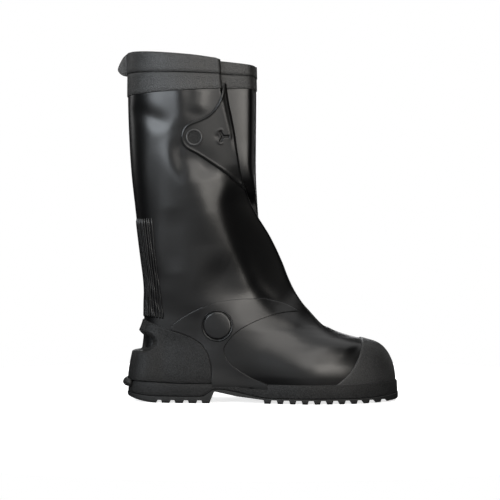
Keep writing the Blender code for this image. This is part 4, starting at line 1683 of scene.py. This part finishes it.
class GroupDesk(NodeDesk):
    """Geometry tree with named inputs that is run once on an object."""

    def __init__(self, name: str) -> None:
        """Start a tree with a geometry input and output.

        Args:
            name: the tree's name.
        """
        super().__init__(bpy.data.node_groups.new(name, "GeometryNodeTree"))
        face = self.tree.interface
        face.new_socket("Geometry", in_out="INPUT", socket_type="NodeSocketGeometry")
        face.new_socket("Geometry", in_out="OUTPUT", socket_type="NodeSocketGeometry")
        self.start = self.tree.nodes.new("NodeGroupInput")
        self.end = self.tree.nodes.new("NodeGroupOutput")
        self.keys: dict[str, str] = {}

    def entry(self, name: str, kind: str) -> Socket:
        """Add a named input.

        Args:
            name: its name.
            kind: its type.

        Returns:
            Its socket in the tree.
        """
        made = self.tree.interface.new_socket(name, in_out="INPUT", socket_type=kind)
        self.keys[name] = made.identifier
        return self.start.outputs[name]

    def close(self, geometry: Socket, finish: Socket) -> None:
        """End the tree: make instances real, set the material and hand the mesh out.

        Args:
            geometry: the geometry so far.
            finish: the material.
        """
        real = self.node("GeometryNodeRealizeInstances", Geometry=geometry)
        dressed = self.node("GeometryNodeSetMaterial", Geometry=real.outputs[0], Material=finish)
        self.feed(self.end.inputs[0], dressed.outputs[0])

    def run(self, thing: Thing, values: dict[str, Any]) -> Thing:
        """Run the tree on an object and keep the result as its plain mesh.

        Args:
            thing: the object.
            values: the tree's inputs by name.

        Returns:
            The same object.
        """
        modifier = thing.modifiers.new(self.tree.name, "NODES")
        modifier.node_group = self.tree
        for name, value in values.items():
            modifier[self.keys[name]] = value
        return bake(thing)


class TreadGaps:
    """Row of tapered bars, repeated by a geometry tree, that stand for the gaps in the tread."""

    below: ClassVar[float] = 2.0
    span: ClassVar[float] = 180.0

    def __init__(self) -> None:
        """Build the tree: a bar, narrowed towards its top, on each point of a line."""
        desk = GroupDesk("tread_gaps")
        count = desk.entry("Count", "NodeSocketInt")
        pitch = desk.entry("Pitch", "NodeSocketVector")
        start = desk.entry("Start", "NodeSocketVector")
        size = desk.entry("Bar Size", "NodeSocketVector")
        taper = desk.value(desk.entry("Taper", "NodeSocketFloat"))
        finish = desk.entry("Finish", "NodeSocketMaterial")
        bar = desk.node("GeometryNodeMeshCube", Size=size)
        here = desk.node("ShaderNodeSeparateXYZ", Vector=desk.node("GeometryNodeInputPosition").outputs[0])
        pull = desk.value(here.outputs["X"]) * desk.value(here.outputs["Z"]) * taper
        move = desk.node("ShaderNodeCombineXYZ", X=pull)
        shaped = desk.node("GeometryNodeSetPosition", Geometry=bar.outputs["Mesh"],
                           Offset=move.outputs[0])
        line = desk.node("GeometryNodeMeshLine", Count=count, Start_Location=start, Offset=pitch)
        bars = desk.node("GeometryNodeInstanceOnPoints", Points=line.outputs[0],
                         Instance=shaped.outputs[0])
        desk.close(bars.outputs[0], finish)
        self.desk = desk

    def row(self, name: str, count: int, first: float, pitch: float, root: float, foot: float,
            depth: float, finish: Material) -> Thing:
        """One row of bars.

        Args:
            name: the object's name.
            count: number of bars.
            first: place of the first bar along the boot.
            pitch: step between bars.
            root: width of a gap at its roof.
            foot: width of a gap at the floor.
            depth: height of the roof over the floor.
            finish: material of the cut faces.

        Returns:
            An object with all the bars.
        """
        tall = depth + self.below
        wide_low = foot + (foot - root) * self.below / depth
        middle = 0.5 * (wide_low + root)
        taper = 2.0 * (root - wide_low) / ((root + wide_low) * tall * MM)
        thing = plain_object(name, np.zeros((1, 3)))
        return self.desk.run(thing, {
            "Count": count,
            "Pitch": (pitch * MM, 0.0, 0.0),
            "Start": ((first + SHIFT[0]) * MM, SHIFT[1] * MM, (depth - 0.5 * tall) * MM),
            "Bar Size": (middle * MM, self.span * MM, tall * MM),
            "Taper": taper,
            "Finish": finish,
        })


@dataclass
class BackRibs:
    """Upright wavy ribs at the back of the ankle, each a pair of fine strands swept along the wall."""

    count: int = 12
    strands: int = 2
    spread_low: float = 82.0
    spread_high: float = 94.0
    low_row: float = 6.45
    high_row: float = 12.6
    radius: float = 1.45
    embed: float = 0.95
    sunk: float = 0.72
    wave: float = 0.45
    sways: tuple[tuple[float, float, float], ...] = ((1.0, 9.0, 2.4), (0.5, 31.0, 1.3))
    end: float = 0.03
    tip: float = 0.15
    points: int = 64
    sides: int = 8

    def paths(self) -> tuple[Array, list[tuple[int, int]], Array]:
        """Paths of the ribs, their edges and the share of the radius at each point.

        Returns:
            Points, edges and shares.
        """
        lines = []
        edges = []
        sizes = []
        t = np.linspace(0.0, 1.0, self.points)
        v = mix(self.low_row, self.high_row, t)
        spread = mix(self.spread_low, self.spread_high, t)
        total = self.count * self.strands
        for k in range(total):
            sway = sum(share * self.wave * np.sin(rate * t + shift * k)
                       for share, rate, shift in self.sways)
            j = LAST.column(v, -180.0 - spread * ((k + 0.5) / total - 0.5) - sway)
            lines.append(LAST.place(v, j) + LAST.normal(v, j) * (self.embed - self.radius * self.sunk))
            edges += [(k * self.points + i, k * self.points + i + 1) for i in range(self.points - 1)]
            ends = np.clip(np.minimum(t, 1.0 - t) / self.end, 0.0, 1.0)
            sizes.append(np.maximum(np.sqrt(ends * (2.0 - ends)), self.tip))
        return np.vstack(lines), edges, np.concatenate(sizes)

    def tree(self) -> GroupDesk:
        """Geometry tree that sweeps a round profile along each path.

        Returns:
            The tree, with its named inputs.
        """
        desk = GroupDesk("rib_sweep")
        radius = desk.entry("Rib Radius", "NodeSocketFloat")
        sides = desk.entry("Rib Sides", "NodeSocketInt")
        finish = desk.entry("Finish", "NodeSocketMaterial")
        size = desk.node("GeometryNodeInputNamedAttribute", {"data_type": "FLOAT"}, Name="rib_size")
        paths = desk.node("GeometryNodeMeshToCurve", Mesh=desk.start.outputs["Geometry"])
        profile = desk.node("GeometryNodeCurvePrimitiveCircle", Resolution=sides, Radius=radius)
        swept = desk.node("GeometryNodeCurveToMesh", Curve=paths.outputs[0],
                          Profile_Curve=profile.outputs[0], Scale=size.outputs["Attribute"],
                          Fill_Caps=True)
        soft = desk.node("GeometryNodeSetShadeSmooth", Geometry=swept.outputs[0])
        desk.close(soft.outputs[0], finish)
        return desk

    def build(self, finish: Material) -> Thing:
        """All the ribs as one mesh.

        Args:
            finish: their material.

        Returns:
            The ribs.
        """
        points, edges, sizes = self.paths()
        thing = plain_object("back_rib_set", points, edges)
        sized = thing.data.attributes.new("rib_size", "FLOAT", "POINT")
        sized.data.foreach_set("value", sizes.astype(np.float32))
        return self.tree().run(thing, {"Rib Radius": self.radius * MM, "Rib Sides": self.sides,
                                       "Finish": finish})


@dataclass
class ClosureFlap:
    """Flap that folds over the pleat on to the stud, with a thin raised border and two holes."""

    thick: float = 2.0
    lift: float = 0.7
    root: float = 6.4
    bead: float = 0.5
    edge_round: float = 1.8
    bead_depth: float = 2.6
    bead_width: float = 0.6
    edge_share: float = 0.85
    roll: float = 9.0
    roll_power: float = 1.2
    hole_radius: float = 4.7
    hole_clear: Span = (7.0, 9.0)
    slit_x: float = -42.5
    slit_z: float = 323.2
    slit_turns: tuple[float, ...] = (90.0, 210.0, 330.0)
    slit_arm: Line = ((-60.0, 0.9), (-7.0, 6.6), (7.0, 6.6))
    slit_clear: Span = (7.0, 10.0)
    dimple_offset: float = 7.0
    dimple_radius: float = 2.6
    dimple_depth: float = 0.7
    pitch: float = 1.9
    depths: tuple[float, ...] = (0.08, 0.25, 0.5, 0.85, 1.3, 1.8, 2.15, 2.6, 3.05, 3.6)
    edge: Line = (
        (-41.8, 388.0), (-44.8, 373.9), (-50.3, 361.6), (-58.7, 351.5), (-71.1, 344.7),
        (-83.4, 339.8), (-90.4, 333.8), (-93.5, 325.0), (-92.7, 316.0), (-87.0, 308.5),
        (-74.1, 301.3), (-57.2, 290.5), (-37.1, 276.6), (-14.8, 258.1))
    hinge: Line = (
        (-14.8, 258.1), (-20.1, 276.9), (-24.7, 304.7), (-29.3, 335.3), (-35.6, 366.4),
        (-38.5, 388.0))

    def inner_face(self, face: OuterFace, points: Array) -> Array:
        """Inner face of the flap over the wall and round the crest.

        Args:
            face: the wall behind the flap.
            points: side-view points.

        Returns:
            Places across the boot.
        """
        v = LAST.row_for(points[:, 0], points[:, 1])
        g = FOLDS.sample(v - FOLD_FIRST)
        edge = g["crest_x"] - g["crest_r"]
        reach = np.minimum(points[:, 0], edge)
        wall = np.array([face.y(x, z) for x, z in zip(reach, points[:, 1])])
        turn = smooth(0.0, 1.0, (points[:, 0] - edge) / (g["crest_r"] + self.roll)) ** self.roll_power
        return wall - self.lift + self.root * turn

    def slits(self) -> Array:
        """Three-armed outline of the second hole.

        Returns:
            Side-view points in order.
        """
        points = []
        for a in self.slit_turns:
            for turn, reach in self.slit_arm:
                b = math.radians(a + turn)
                points.append((self.slit_x + reach * math.sin(b), self.slit_z + reach * math.cos(b)))
        return np.asarray(points)

    def build(self, face: OuterFace, finish: Material) -> Thing:
        """Flap with a beaded edge.

        Args:
            face: the wall behind the flap.
            finish: its material.

        Returns:
            The flap.
        """

        def spread(points: Array) -> tuple[Array, Array]:
            """Inner face and the way out.

            Args:
                points: side-view points.

            Returns:
                Places and ways out.
            """
            y = self.inner_face(face, points)
            place = np.column_stack([points[:, 0], y, points[:, 1]])
            return place, np.tile(np.array([0.0, -1.0, 0.0]), (len(points), 1))

        def rise(points: Array, depth: Array) -> Array:
            """Thickness, a bead along the edge and a dimple beside the second hole.

            Args:
                points: side-view points.
                depth: how far inside the edge they are.

            Returns:
                Heights over the inner face.
            """
            past = 1.0 - np.clip(depth / self.edge_round, 0.0, 1.0)
            round_edge = self.edge_share * self.thick * (1.0 - np.sqrt(1.0 - past ** 2))
            bead = self.bead * np.exp(-(((depth - self.bead_depth) / self.bead_width) ** 2))
            slits = np.hypot(points[:, 0] - self.slit_x, points[:, 1] - self.slit_z)
            stud = np.hypot(points[:, 0] - STUD_X, points[:, 1] - STUD_Z)
            bead = bead * smooth(*self.slit_clear, slits) * smooth(*self.hole_clear, stud)
            beside = self.slit_x - self.dimple_offset
            dimple = np.hypot(points[:, 0] - beside, points[:, 1] - self.slit_z)
            sunk = self.dimple_depth * np.exp(-((dimple / self.dimple_radius) ** 2))
            return self.thick - round_edge + bead - sunk

        outline = np.vstack([through(self.edge, 10)[:-1], through(self.hinge, 10)])
        hole = arc((STUD_X, STUD_Z), self.hole_radius, 0.0, 350.0, 36)
        return RaisedPanel("flap_skin", outline, spread, rise, holes=(hole, self.slits()),
                           pitch=self.pitch, rings=self.depths, sink=0.0).build(finish)


@dataclass
class ButtonStud:
    """Turned stud with a raised ring and a grained face."""

    x: float = STUD_X
    z: float = STUD_Z
    turns: int = 64
    face_radius: float = 7.9
    face_height: float = 4.55
    crisp: float = 50.0
    profile: Line = (
        (4.0, 0.4), (4.0, 2.9), (9.2, 3.0), (9.8, 3.3), (10.1, 3.8), (10.1, 4.5), (9.95, 5.1),
        (9.5, 5.6), (9.0, 5.75), (8.5, 5.55), (8.1, 5.05), (7.8, 4.7), (7.2, 4.55), (4.0, 4.7))

    def build(self, face: OuterFace, ring: Material,
              grained: Material) -> Thing:
        """Stud that stands out of the outer wall.

        Args:
            face: the wall it stands on.
            ring: material of the ring and the neck.
            grained: material of the face.

        Returns:
            The stud.
        """
        seat = face.y(self.x, self.z)
        a = 2.0 * math.pi * np.arange(self.turns) / self.turns
        rings = np.array([np.column_stack([self.x + r * np.cos(a), np.full(self.turns, seat - h),
                                           self.z + r * np.sin(a)]) for r, h in self.profile])
        faces = tube_faces(len(rings), self.turns)
        stud = make_object("stud_cap", rings.reshape(-1, 3), faces, ring, self.crisp)
        stud.data.materials.append(grained)
        for polygon in stud.data.polygons:
            reach = math.hypot(polygon.center.x / MM - SHIFT[0] - self.x,
                               polygon.center.z / MM - self.z)
            front = polygon.center.y / MM - SHIFT[1] < seat - self.face_height
            if reach < self.face_radius and front:
                polygon.material_index = 1
        return stud


@dataclass
class KickLug:
    """Half-round kick-off bar across the back of the heel."""

    z: float = 23.7
    radius: float = 4.8
    sweep: float = 18.0
    proud: float = 0.9
    end_power: int = 14
    end_least: float = 0.04
    crisp: float = 50.0
    stations: int = 41
    sides: int = 14

    def build(self, finish: Material) -> Thing:
        """Bar with rounded ends, flat against the foxing.

        Args:
            finish: its material.

        Returns:
            The bar.
        """
        t = np.linspace(-1.0, 1.0, self.stations)
        base = Sole.outline(-(HEEL + self.sweep * t), -self.proud)
        run = unit(np.gradient(base, axis=0))
        out = np.column_stack([run[:, 1], -run[:, 0]])
        size = self.radius * np.sqrt(np.clip(1.0 - np.abs(t) ** self.end_power, self.end_least, 1.0))
        a = np.radians(np.linspace(-90.0, 90.0, self.sides))
        rings = [np.column_stack([p[0] + o[0] * r * np.cos(a), p[1] + o[1] * r * np.cos(a),
                                  self.z + r * np.sin(a)]) for p, o, r in zip(base, out, size)]
        faces = tube_faces(self.stations, self.sides)
        bar = make_object("kick_bar", np.vstack(rings), faces, finish, self.crisp)
        bar.data.flip_normals()
        return bar


@dataclass
class PullTab:
    """Small rounded fin at the back of the collar."""

    half: float = 2.6
    round_edge: float = 1.5
    crisp: float = 50.0
    outline: Line = (
        (-162.6, 430.0), (-167.5, 425.5), (-172.0, 417.5), (-174.3, 411.0), (-173.0, 407.0),
        (-168.5, 403.5), (-162.6, 402.0))

    def build(self, finish: Material) -> Thing:
        """Fin with rounded edges.

        Args:
            finish: its material.

        Returns:
            The fin.
        """
        fin = slab("tab_fin", through(self.outline, 5), self.half, finish)
        edge = fin.modifiers.new("Edge", "BEVEL")
        edge.width = self.round_edge * MM
        edge.segments = 4
        edge.limit_method = "ANGLE"
        edge.angle_limit = math.radians(self.crisp)
        bake(fin)
        shade(fin, self.crisp)
        return fin


@dataclass(frozen=True)
class PvcFinish:
    """Moulded black plastic: its tone, gloss and grain."""

    name: str
    grain: Grain
    tone: tuple[float, float, float]
    rough: float
    rough_spread: float = 0.06
    coat: float = 0.0
    coat_rough: float = 0.2
    specular: float = 0.5
    grain_mm: float = 1.0
    grain_depth_mm: float = 0.1
    lighten: float = 0.35
    clouds: ClassVar[dict[str, float]] = {"Scale": 28.0, "Detail": 4.0, "Roughness": 0.55}
    specks: ClassVar[dict[str, float]] = {"Detail": 3.0, "Roughness": 0.6}
    waves: ClassVar[dict[str, float]] = {"Scale": 120.0, "Detail": 2.0}
    cell_soft: ClassVar[float] = 0.6
    cloud_share: ClassVar[float] = 0.5
    speck_share: ClassVar[float] = 0.5
    fleck_contrast: ClassVar[float] = 3.2
    fleck_base: ClassVar[float] = 0.25
    shares: ClassVar[dict[Grain, tuple[float, float]]] = {
        Grain.SMOOTH: (0.6, 0.25), Grain.PEBBLE: (0.8, 0.4), Grain.FINE: (0.45, 0.75)}

    def dress(self) -> Material:
        """Material with cloudy tone and gloss, and the mould's grain as bump.

        Returns:
            The material.
        """
        made = bpy.data.materials.new(self.name)
        made.use_nodes = True
        desk = NodeDesk(made.node_tree)
        shader = made.node_tree.nodes["Principled BSDF"]
        place = desk.node("ShaderNodeTexCoord").outputs["Object"]
        cloud = self.noise(desk, place, self.clouds)
        speck = self.noise(desk, place, {"Scale": 1.0 / (self.grain_mm * MM), **self.specks})
        height = self.relief(desk, place, speck)
        bump = desk.node("ShaderNodeBump", Strength=1.0, Distance=self.grain_depth_mm * MM,
                         Height=height)
        if self.grain is Grain.SMOOTH:
            fleck = speck * self.speck_share
        else:
            fleck = (speck - 0.5) * self.fleck_contrast + self.fleck_base
        tint = desk.node("ShaderNodeMix", {"data_type": "RGBA"},
                         Factor=cloud * self.cloud_share + fleck, A=(*self.tone, 1.0),
                         B=tuple(c * (1.0 + 2.0 * self.lighten) for c in self.tone) + (1.0,))
        rough = (self.rough + (cloud - 0.5) * (2.0 * self.rough_spread)
                 + (speck - 0.5) * self.rough_spread)
        desk.fill(shader, Base_Color=tint.outputs["Result"], Roughness=rough, Normal=bump.outputs[0],
                  Specular_IOR_Level=self.specular, Coat_Weight=self.coat,
                  Coat_Roughness=self.coat_rough)
        return made

    @staticmethod
    def noise(desk: NodeDesk, place: Socket, look: dict[str, float]) -> Value:
        """Noise of a given look at a place."""
        return desk.value(desk.node("ShaderNodeTexNoise", Vector=place, **look).outputs["Fac"])

    def relief(self, desk: NodeDesk, place: Socket, speck: Value) -> Value:
        """Height of the grain: soft waves on a smooth finish, beads on a grained one, and specks.

        Args:
            desk: where its nodes go.
            place: the place on the piece.
            speck: fine noise there.

        Returns:
            The height, about 0 to 1.
        """
        if self.grain is Grain.SMOOTH:
            form = self.noise(desk, place, self.waves)
        else:
            cells = desk.node("ShaderNodeTexVoronoi", {"feature": "SMOOTH_F1"}, Vector=place,
                              Scale=1.0 / (self.grain_mm * MM), Smoothness=self.cell_soft)
            form = 1.0 - desk.value(cells.outputs["Distance"])
        coarse, fine = self.shares[self.grain]
        return form * coarse + speck * fine


FINISHES = {
    "smooth": PvcFinish("smooth_black_pvc", Grain.SMOOTH, (0.0006, 0.0006, 0.0007), 0.315,
                        rough_spread=0.015, specular=0.45, grain_mm=0.5, grain_depth_mm=0.035),
    "flap": PvcFinish("flap_black_pvc", Grain.SMOOTH, (0.002, 0.002, 0.002), 0.38, rough_spread=0.03,
                      specular=0.42, grain_mm=0.45, grain_depth_mm=0.06),
    "fine": PvcFinish("fine_grain_pvc", Grain.FINE, (0.002, 0.002, 0.002), 0.46, grain_mm=1.2,
                      grain_depth_mm=0.4, lighten=3.5, specular=0.17),
    # The cap's finish is the fine grain again with a lighter tone and more gloss. The lighter tone is
    # painted light: a lit copy that stands in for the light falling on the toe. The cap's grain is the
    # same as the counter's.
    "cap": PvcFinish("cap_grain_pvc_lit_copy", Grain.FINE, (0.003, 0.003, 0.003), 0.44, grain_mm=1.2,
                     grain_depth_mm=0.4, lighten=3.5, specular=0.42),
    "pebble": PvcFinish("pebble_grain_pvc", Grain.PEBBLE, (0.004, 0.004, 0.0039), 0.46, grain_mm=1.4,
                        grain_depth_mm=0.5, lighten=2.4, specular=0.56),
    "sole": PvcFinish("sole_black_pvc", Grain.FINE, (0.004, 0.004, 0.004), 0.5, grain_mm=0.8,
                      grain_depth_mm=0.18, lighten=0.5, specular=0.4),
    # The ring's tone is lighter than the other plastic. Part of this is the ring's own lighter plastic,
    # and part is painted sheen that stands in for the highlights running round the ring.
    "gloss": PvcFinish("gloss_ring_pvc", Grain.SMOOTH, (0.02, 0.02, 0.02), 0.3, coat=0.3,
                       coat_rough=0.12, grain_mm=0.5, grain_depth_mm=0.03),
}


@dataclass(frozen=True)
class SoftBox:
    """Rectangular studio light aimed at a point."""

    name: str
    place: tuple[float, float, float]
    aim: tuple[float, float, float]
    size: tuple[float, float]
    watts: float
    colour: tuple[float, float, float] = (1.0, 1.0, 1.0)

    def build(self) -> None:
        """Add the light to the scene."""
        lamp = bpy.data.lights.new(self.name, "AREA")
        lamp.color = self.colour
        lamp.shape = "RECTANGLE"
        lamp.size, lamp.size_y = self.size
        lamp.energy = self.watts
        thing = link(self.name, lamp)
        thing.visible_camera = False
        thing.location = self.place
        way = Vector(self.aim) - Vector(self.place)
        thing.rotation_euler = way.to_track_quat("-Z", "Y").to_euler()


@dataclass(frozen=True)
class Overhead:
    """Wide soft light from straight above, even over the whole floor."""

    strength: float
    spread: float

    def build(self) -> None:
        """Add the light to the scene."""
        lamp = bpy.data.lights.new("overhead", "SUN")
        lamp.energy = self.strength
        lamp.angle = math.radians(self.spread)
        link("overhead", lamp)


@dataclass
class Studio:
    """Pale floor, soft lights, white surround and the camera square to the outer side."""

    reach: float = 1720.0
    width_at_boot: float = 622.5
    camera_x: float = -9.96
    camera_z: float = 186.2
    sensor: float = 36.0
    floor_radius: float = 0.6
    floor_sides: int = 96
    floor_drop: float = 0.0002
    surround: float = 0.02
    floor_glow: float = 0.75
    floor_look: ClassVar[dict[str, Any]] = {
        "Base_Color": (0.92, 0.92, 0.92, 1.0), "Roughness": 0.9, "Specular_IOR_Level": 0.1,
        "Emission_Color": (1.0, 1.0, 1.0, 1.0)}
    lights: tuple[SoftBox | Overhead, ...] = (
        Overhead(1.7, 80.0),
        SoftBox("key", (-1.4, -1.5, 0.8), (0.0, 0.0, 0.35), (1.0, 0.75), 25.0, (0.88, 0.94, 1.0)),
        SoftBox("warm", (0.85, -1.85, 0.55), (0.05, 0.0, 0.15), (0.4, 0.5), 9.0, (1.0, 0.96, 0.9)),
        SoftBox("over", (0.25, -1.85, 1.25), (0.0, 0.0, 0.1), (1.0, 1.5), 22.0, (1.0, 0.97, 0.93)),
        SoftBox("fill", (-0.8, -2.0, -0.05), (-0.05, 0.0, 0.2), (3.6, 1.1), 8.5),
        SoftBox("behind", (0.0, 1.9, 0.8), (0.0, 0.0, 0.25), (0.8, 1.1), 9.0, (0.97, 0.98, 1.0)),
        SoftBox("side", (1.35, 1.25, 0.7), (0.0, 0.0, 0.3), (0.7, 1.2), 0.9, (1.0, 0.98, 0.95)),
        SoftBox("back_edge", (-1.5, 0.7, 0.9), (0.0, 0.0, 0.25), (0.5, 1.2), 3.0),
    )

    def build(self) -> None:
        """Set the stage."""
        for light in self.lights:
            light.build()
        self.floor()
        self.sky()
        self.camera()

    def floor(self) -> None:
        """Round pale floor."""
        sides = self.floor_sides
        a = 2.0 * math.pi * np.arange(sides) / sides
        rim = np.column_stack([np.cos(a), np.sin(a), np.zeros(sides)]) * self.floor_radius
        rim[:, 2] -= self.floor_drop
        mesh = bpy.data.meshes.new("floor")
        mesh.from_pydata(rim.tolist(), [], [tuple(range(sides))])
        pale = bpy.data.materials.new("floor_white")
        pale.use_nodes = True
        NodeDesk(pale.node_tree).fill(pale.node_tree.nodes["Principled BSDF"], **self.floor_look,
                                      Emission_Strength=self.floor_glow)
        mesh.materials.append(pale)
        thing = link("floor", mesh)
        thing.visible_glossy = False

    def sky(self) -> None:
        """White to the eye, dimmer as a light, so that the black plastic keeps its depth."""
        world = bpy.data.worlds.new("surround")
        bpy.context.scene.world = world
        world.use_nodes = True
        desk = NodeDesk(world.node_tree)
        seen = desk.value(desk.node("ShaderNodeLightPath").outputs["Is Camera Ray"])
        desk.fill(world.node_tree.nodes["Background"], Color=(1.0, 1.0, 1.0, 1.0),
                  Strength=self.surround + seen * (1.0 - self.surround))

    def camera(self) -> None:
        """Camera level with the shaft's middle, looking straight across the boot."""
        lens = bpy.data.cameras.new("camera")
        lens.sensor_width = self.sensor
        lens.lens = self.sensor * self.reach / self.width_at_boot
        thing = link("camera", lens)
        thing.location = (np.array([self.camera_x, -self.reach, self.camera_z]) + SHIFT) * MM
        thing.rotation_euler = (math.radians(90.0), 0.0, 0.0)
        bpy.context.scene.camera = thing
        bpy.context.scene.view_settings.view_transform = "Standard"


@dataclass
class Overshoe:
    """The boot as a whole."""

    upper: Upper = field(default_factory=Upper)
    sole: Sole = field(default_factory=Sole)
    cuff_lines: Line = ((376.0, 383.4), (403.5, 398.0), (440.0, 440.0))

    def build(self) -> None:
        """Make every piece, dress it and set it on the boot."""
        look = {name: finish.dress() for name, finish in FINISHES.items()}
        face = OuterFace(self.upper)
        settle(self.upper.build(look["smooth"]), "smooth_pvc", "upper")
        settle(self.sole.build_outsole(look["sole"]), "sole_pvc", "outsole")
        settle(self.sole.build_foxing(look["fine"]), "grain_pvc", "foxing_band")
        for side in Side:
            node = "saddle_" + side.name.lower()
            settle(Saddle(side).build(look["smooth"]), "smooth_pvc", node)
        settle(AnkleDisc().build(look["smooth"]), "smooth_pvc", "ankle_disc")
        # The toe cap takes the lit copy of the fine grain; its lighter tone is painted light.
        settle(ToeCap().build(look["cap"]), "grain_pvc", "toe_cap")
        settle(HeelCounter().build(look["fine"]), "grain_pvc", "heel_counter")
        settle(BackRibs().build(look["smooth"]), "smooth_pvc", "back_ribs")
        low, middle, rim = self.cuff_lines
        settle(Cuff("cuff_low_band", low, middle, 0.9).build(look["pebble"]), "cuff_pvc", "cuff_lower")
        settle(Cuff("cuff_high_band", (middle[0] + GAP, middle[1] + GAP), rim, 1.5).build(look["pebble"]),
               "cuff_pvc", "cuff_upper")
        settle(PullTab().build(look["pebble"]), "cuff_pvc", "pull_tab")
        settle(ClosureFlap().build(face, look["flap"]), "flap_pvc", "closure_flap")
        settle(ButtonStud().build(face, look["gloss"], look["fine"]), "flap_pvc", "button_stud")
        settle(KickLug().build(look["sole"]), "sole_pvc", "kick_lug")


def main() -> None:
    """Build the boot and the studio."""
    logging.basicConfig(level=logging.INFO, format="%(name)s %(message)s")
    Overshoe().build()
    Studio().build()


if __name__ == "__main__":
    main()
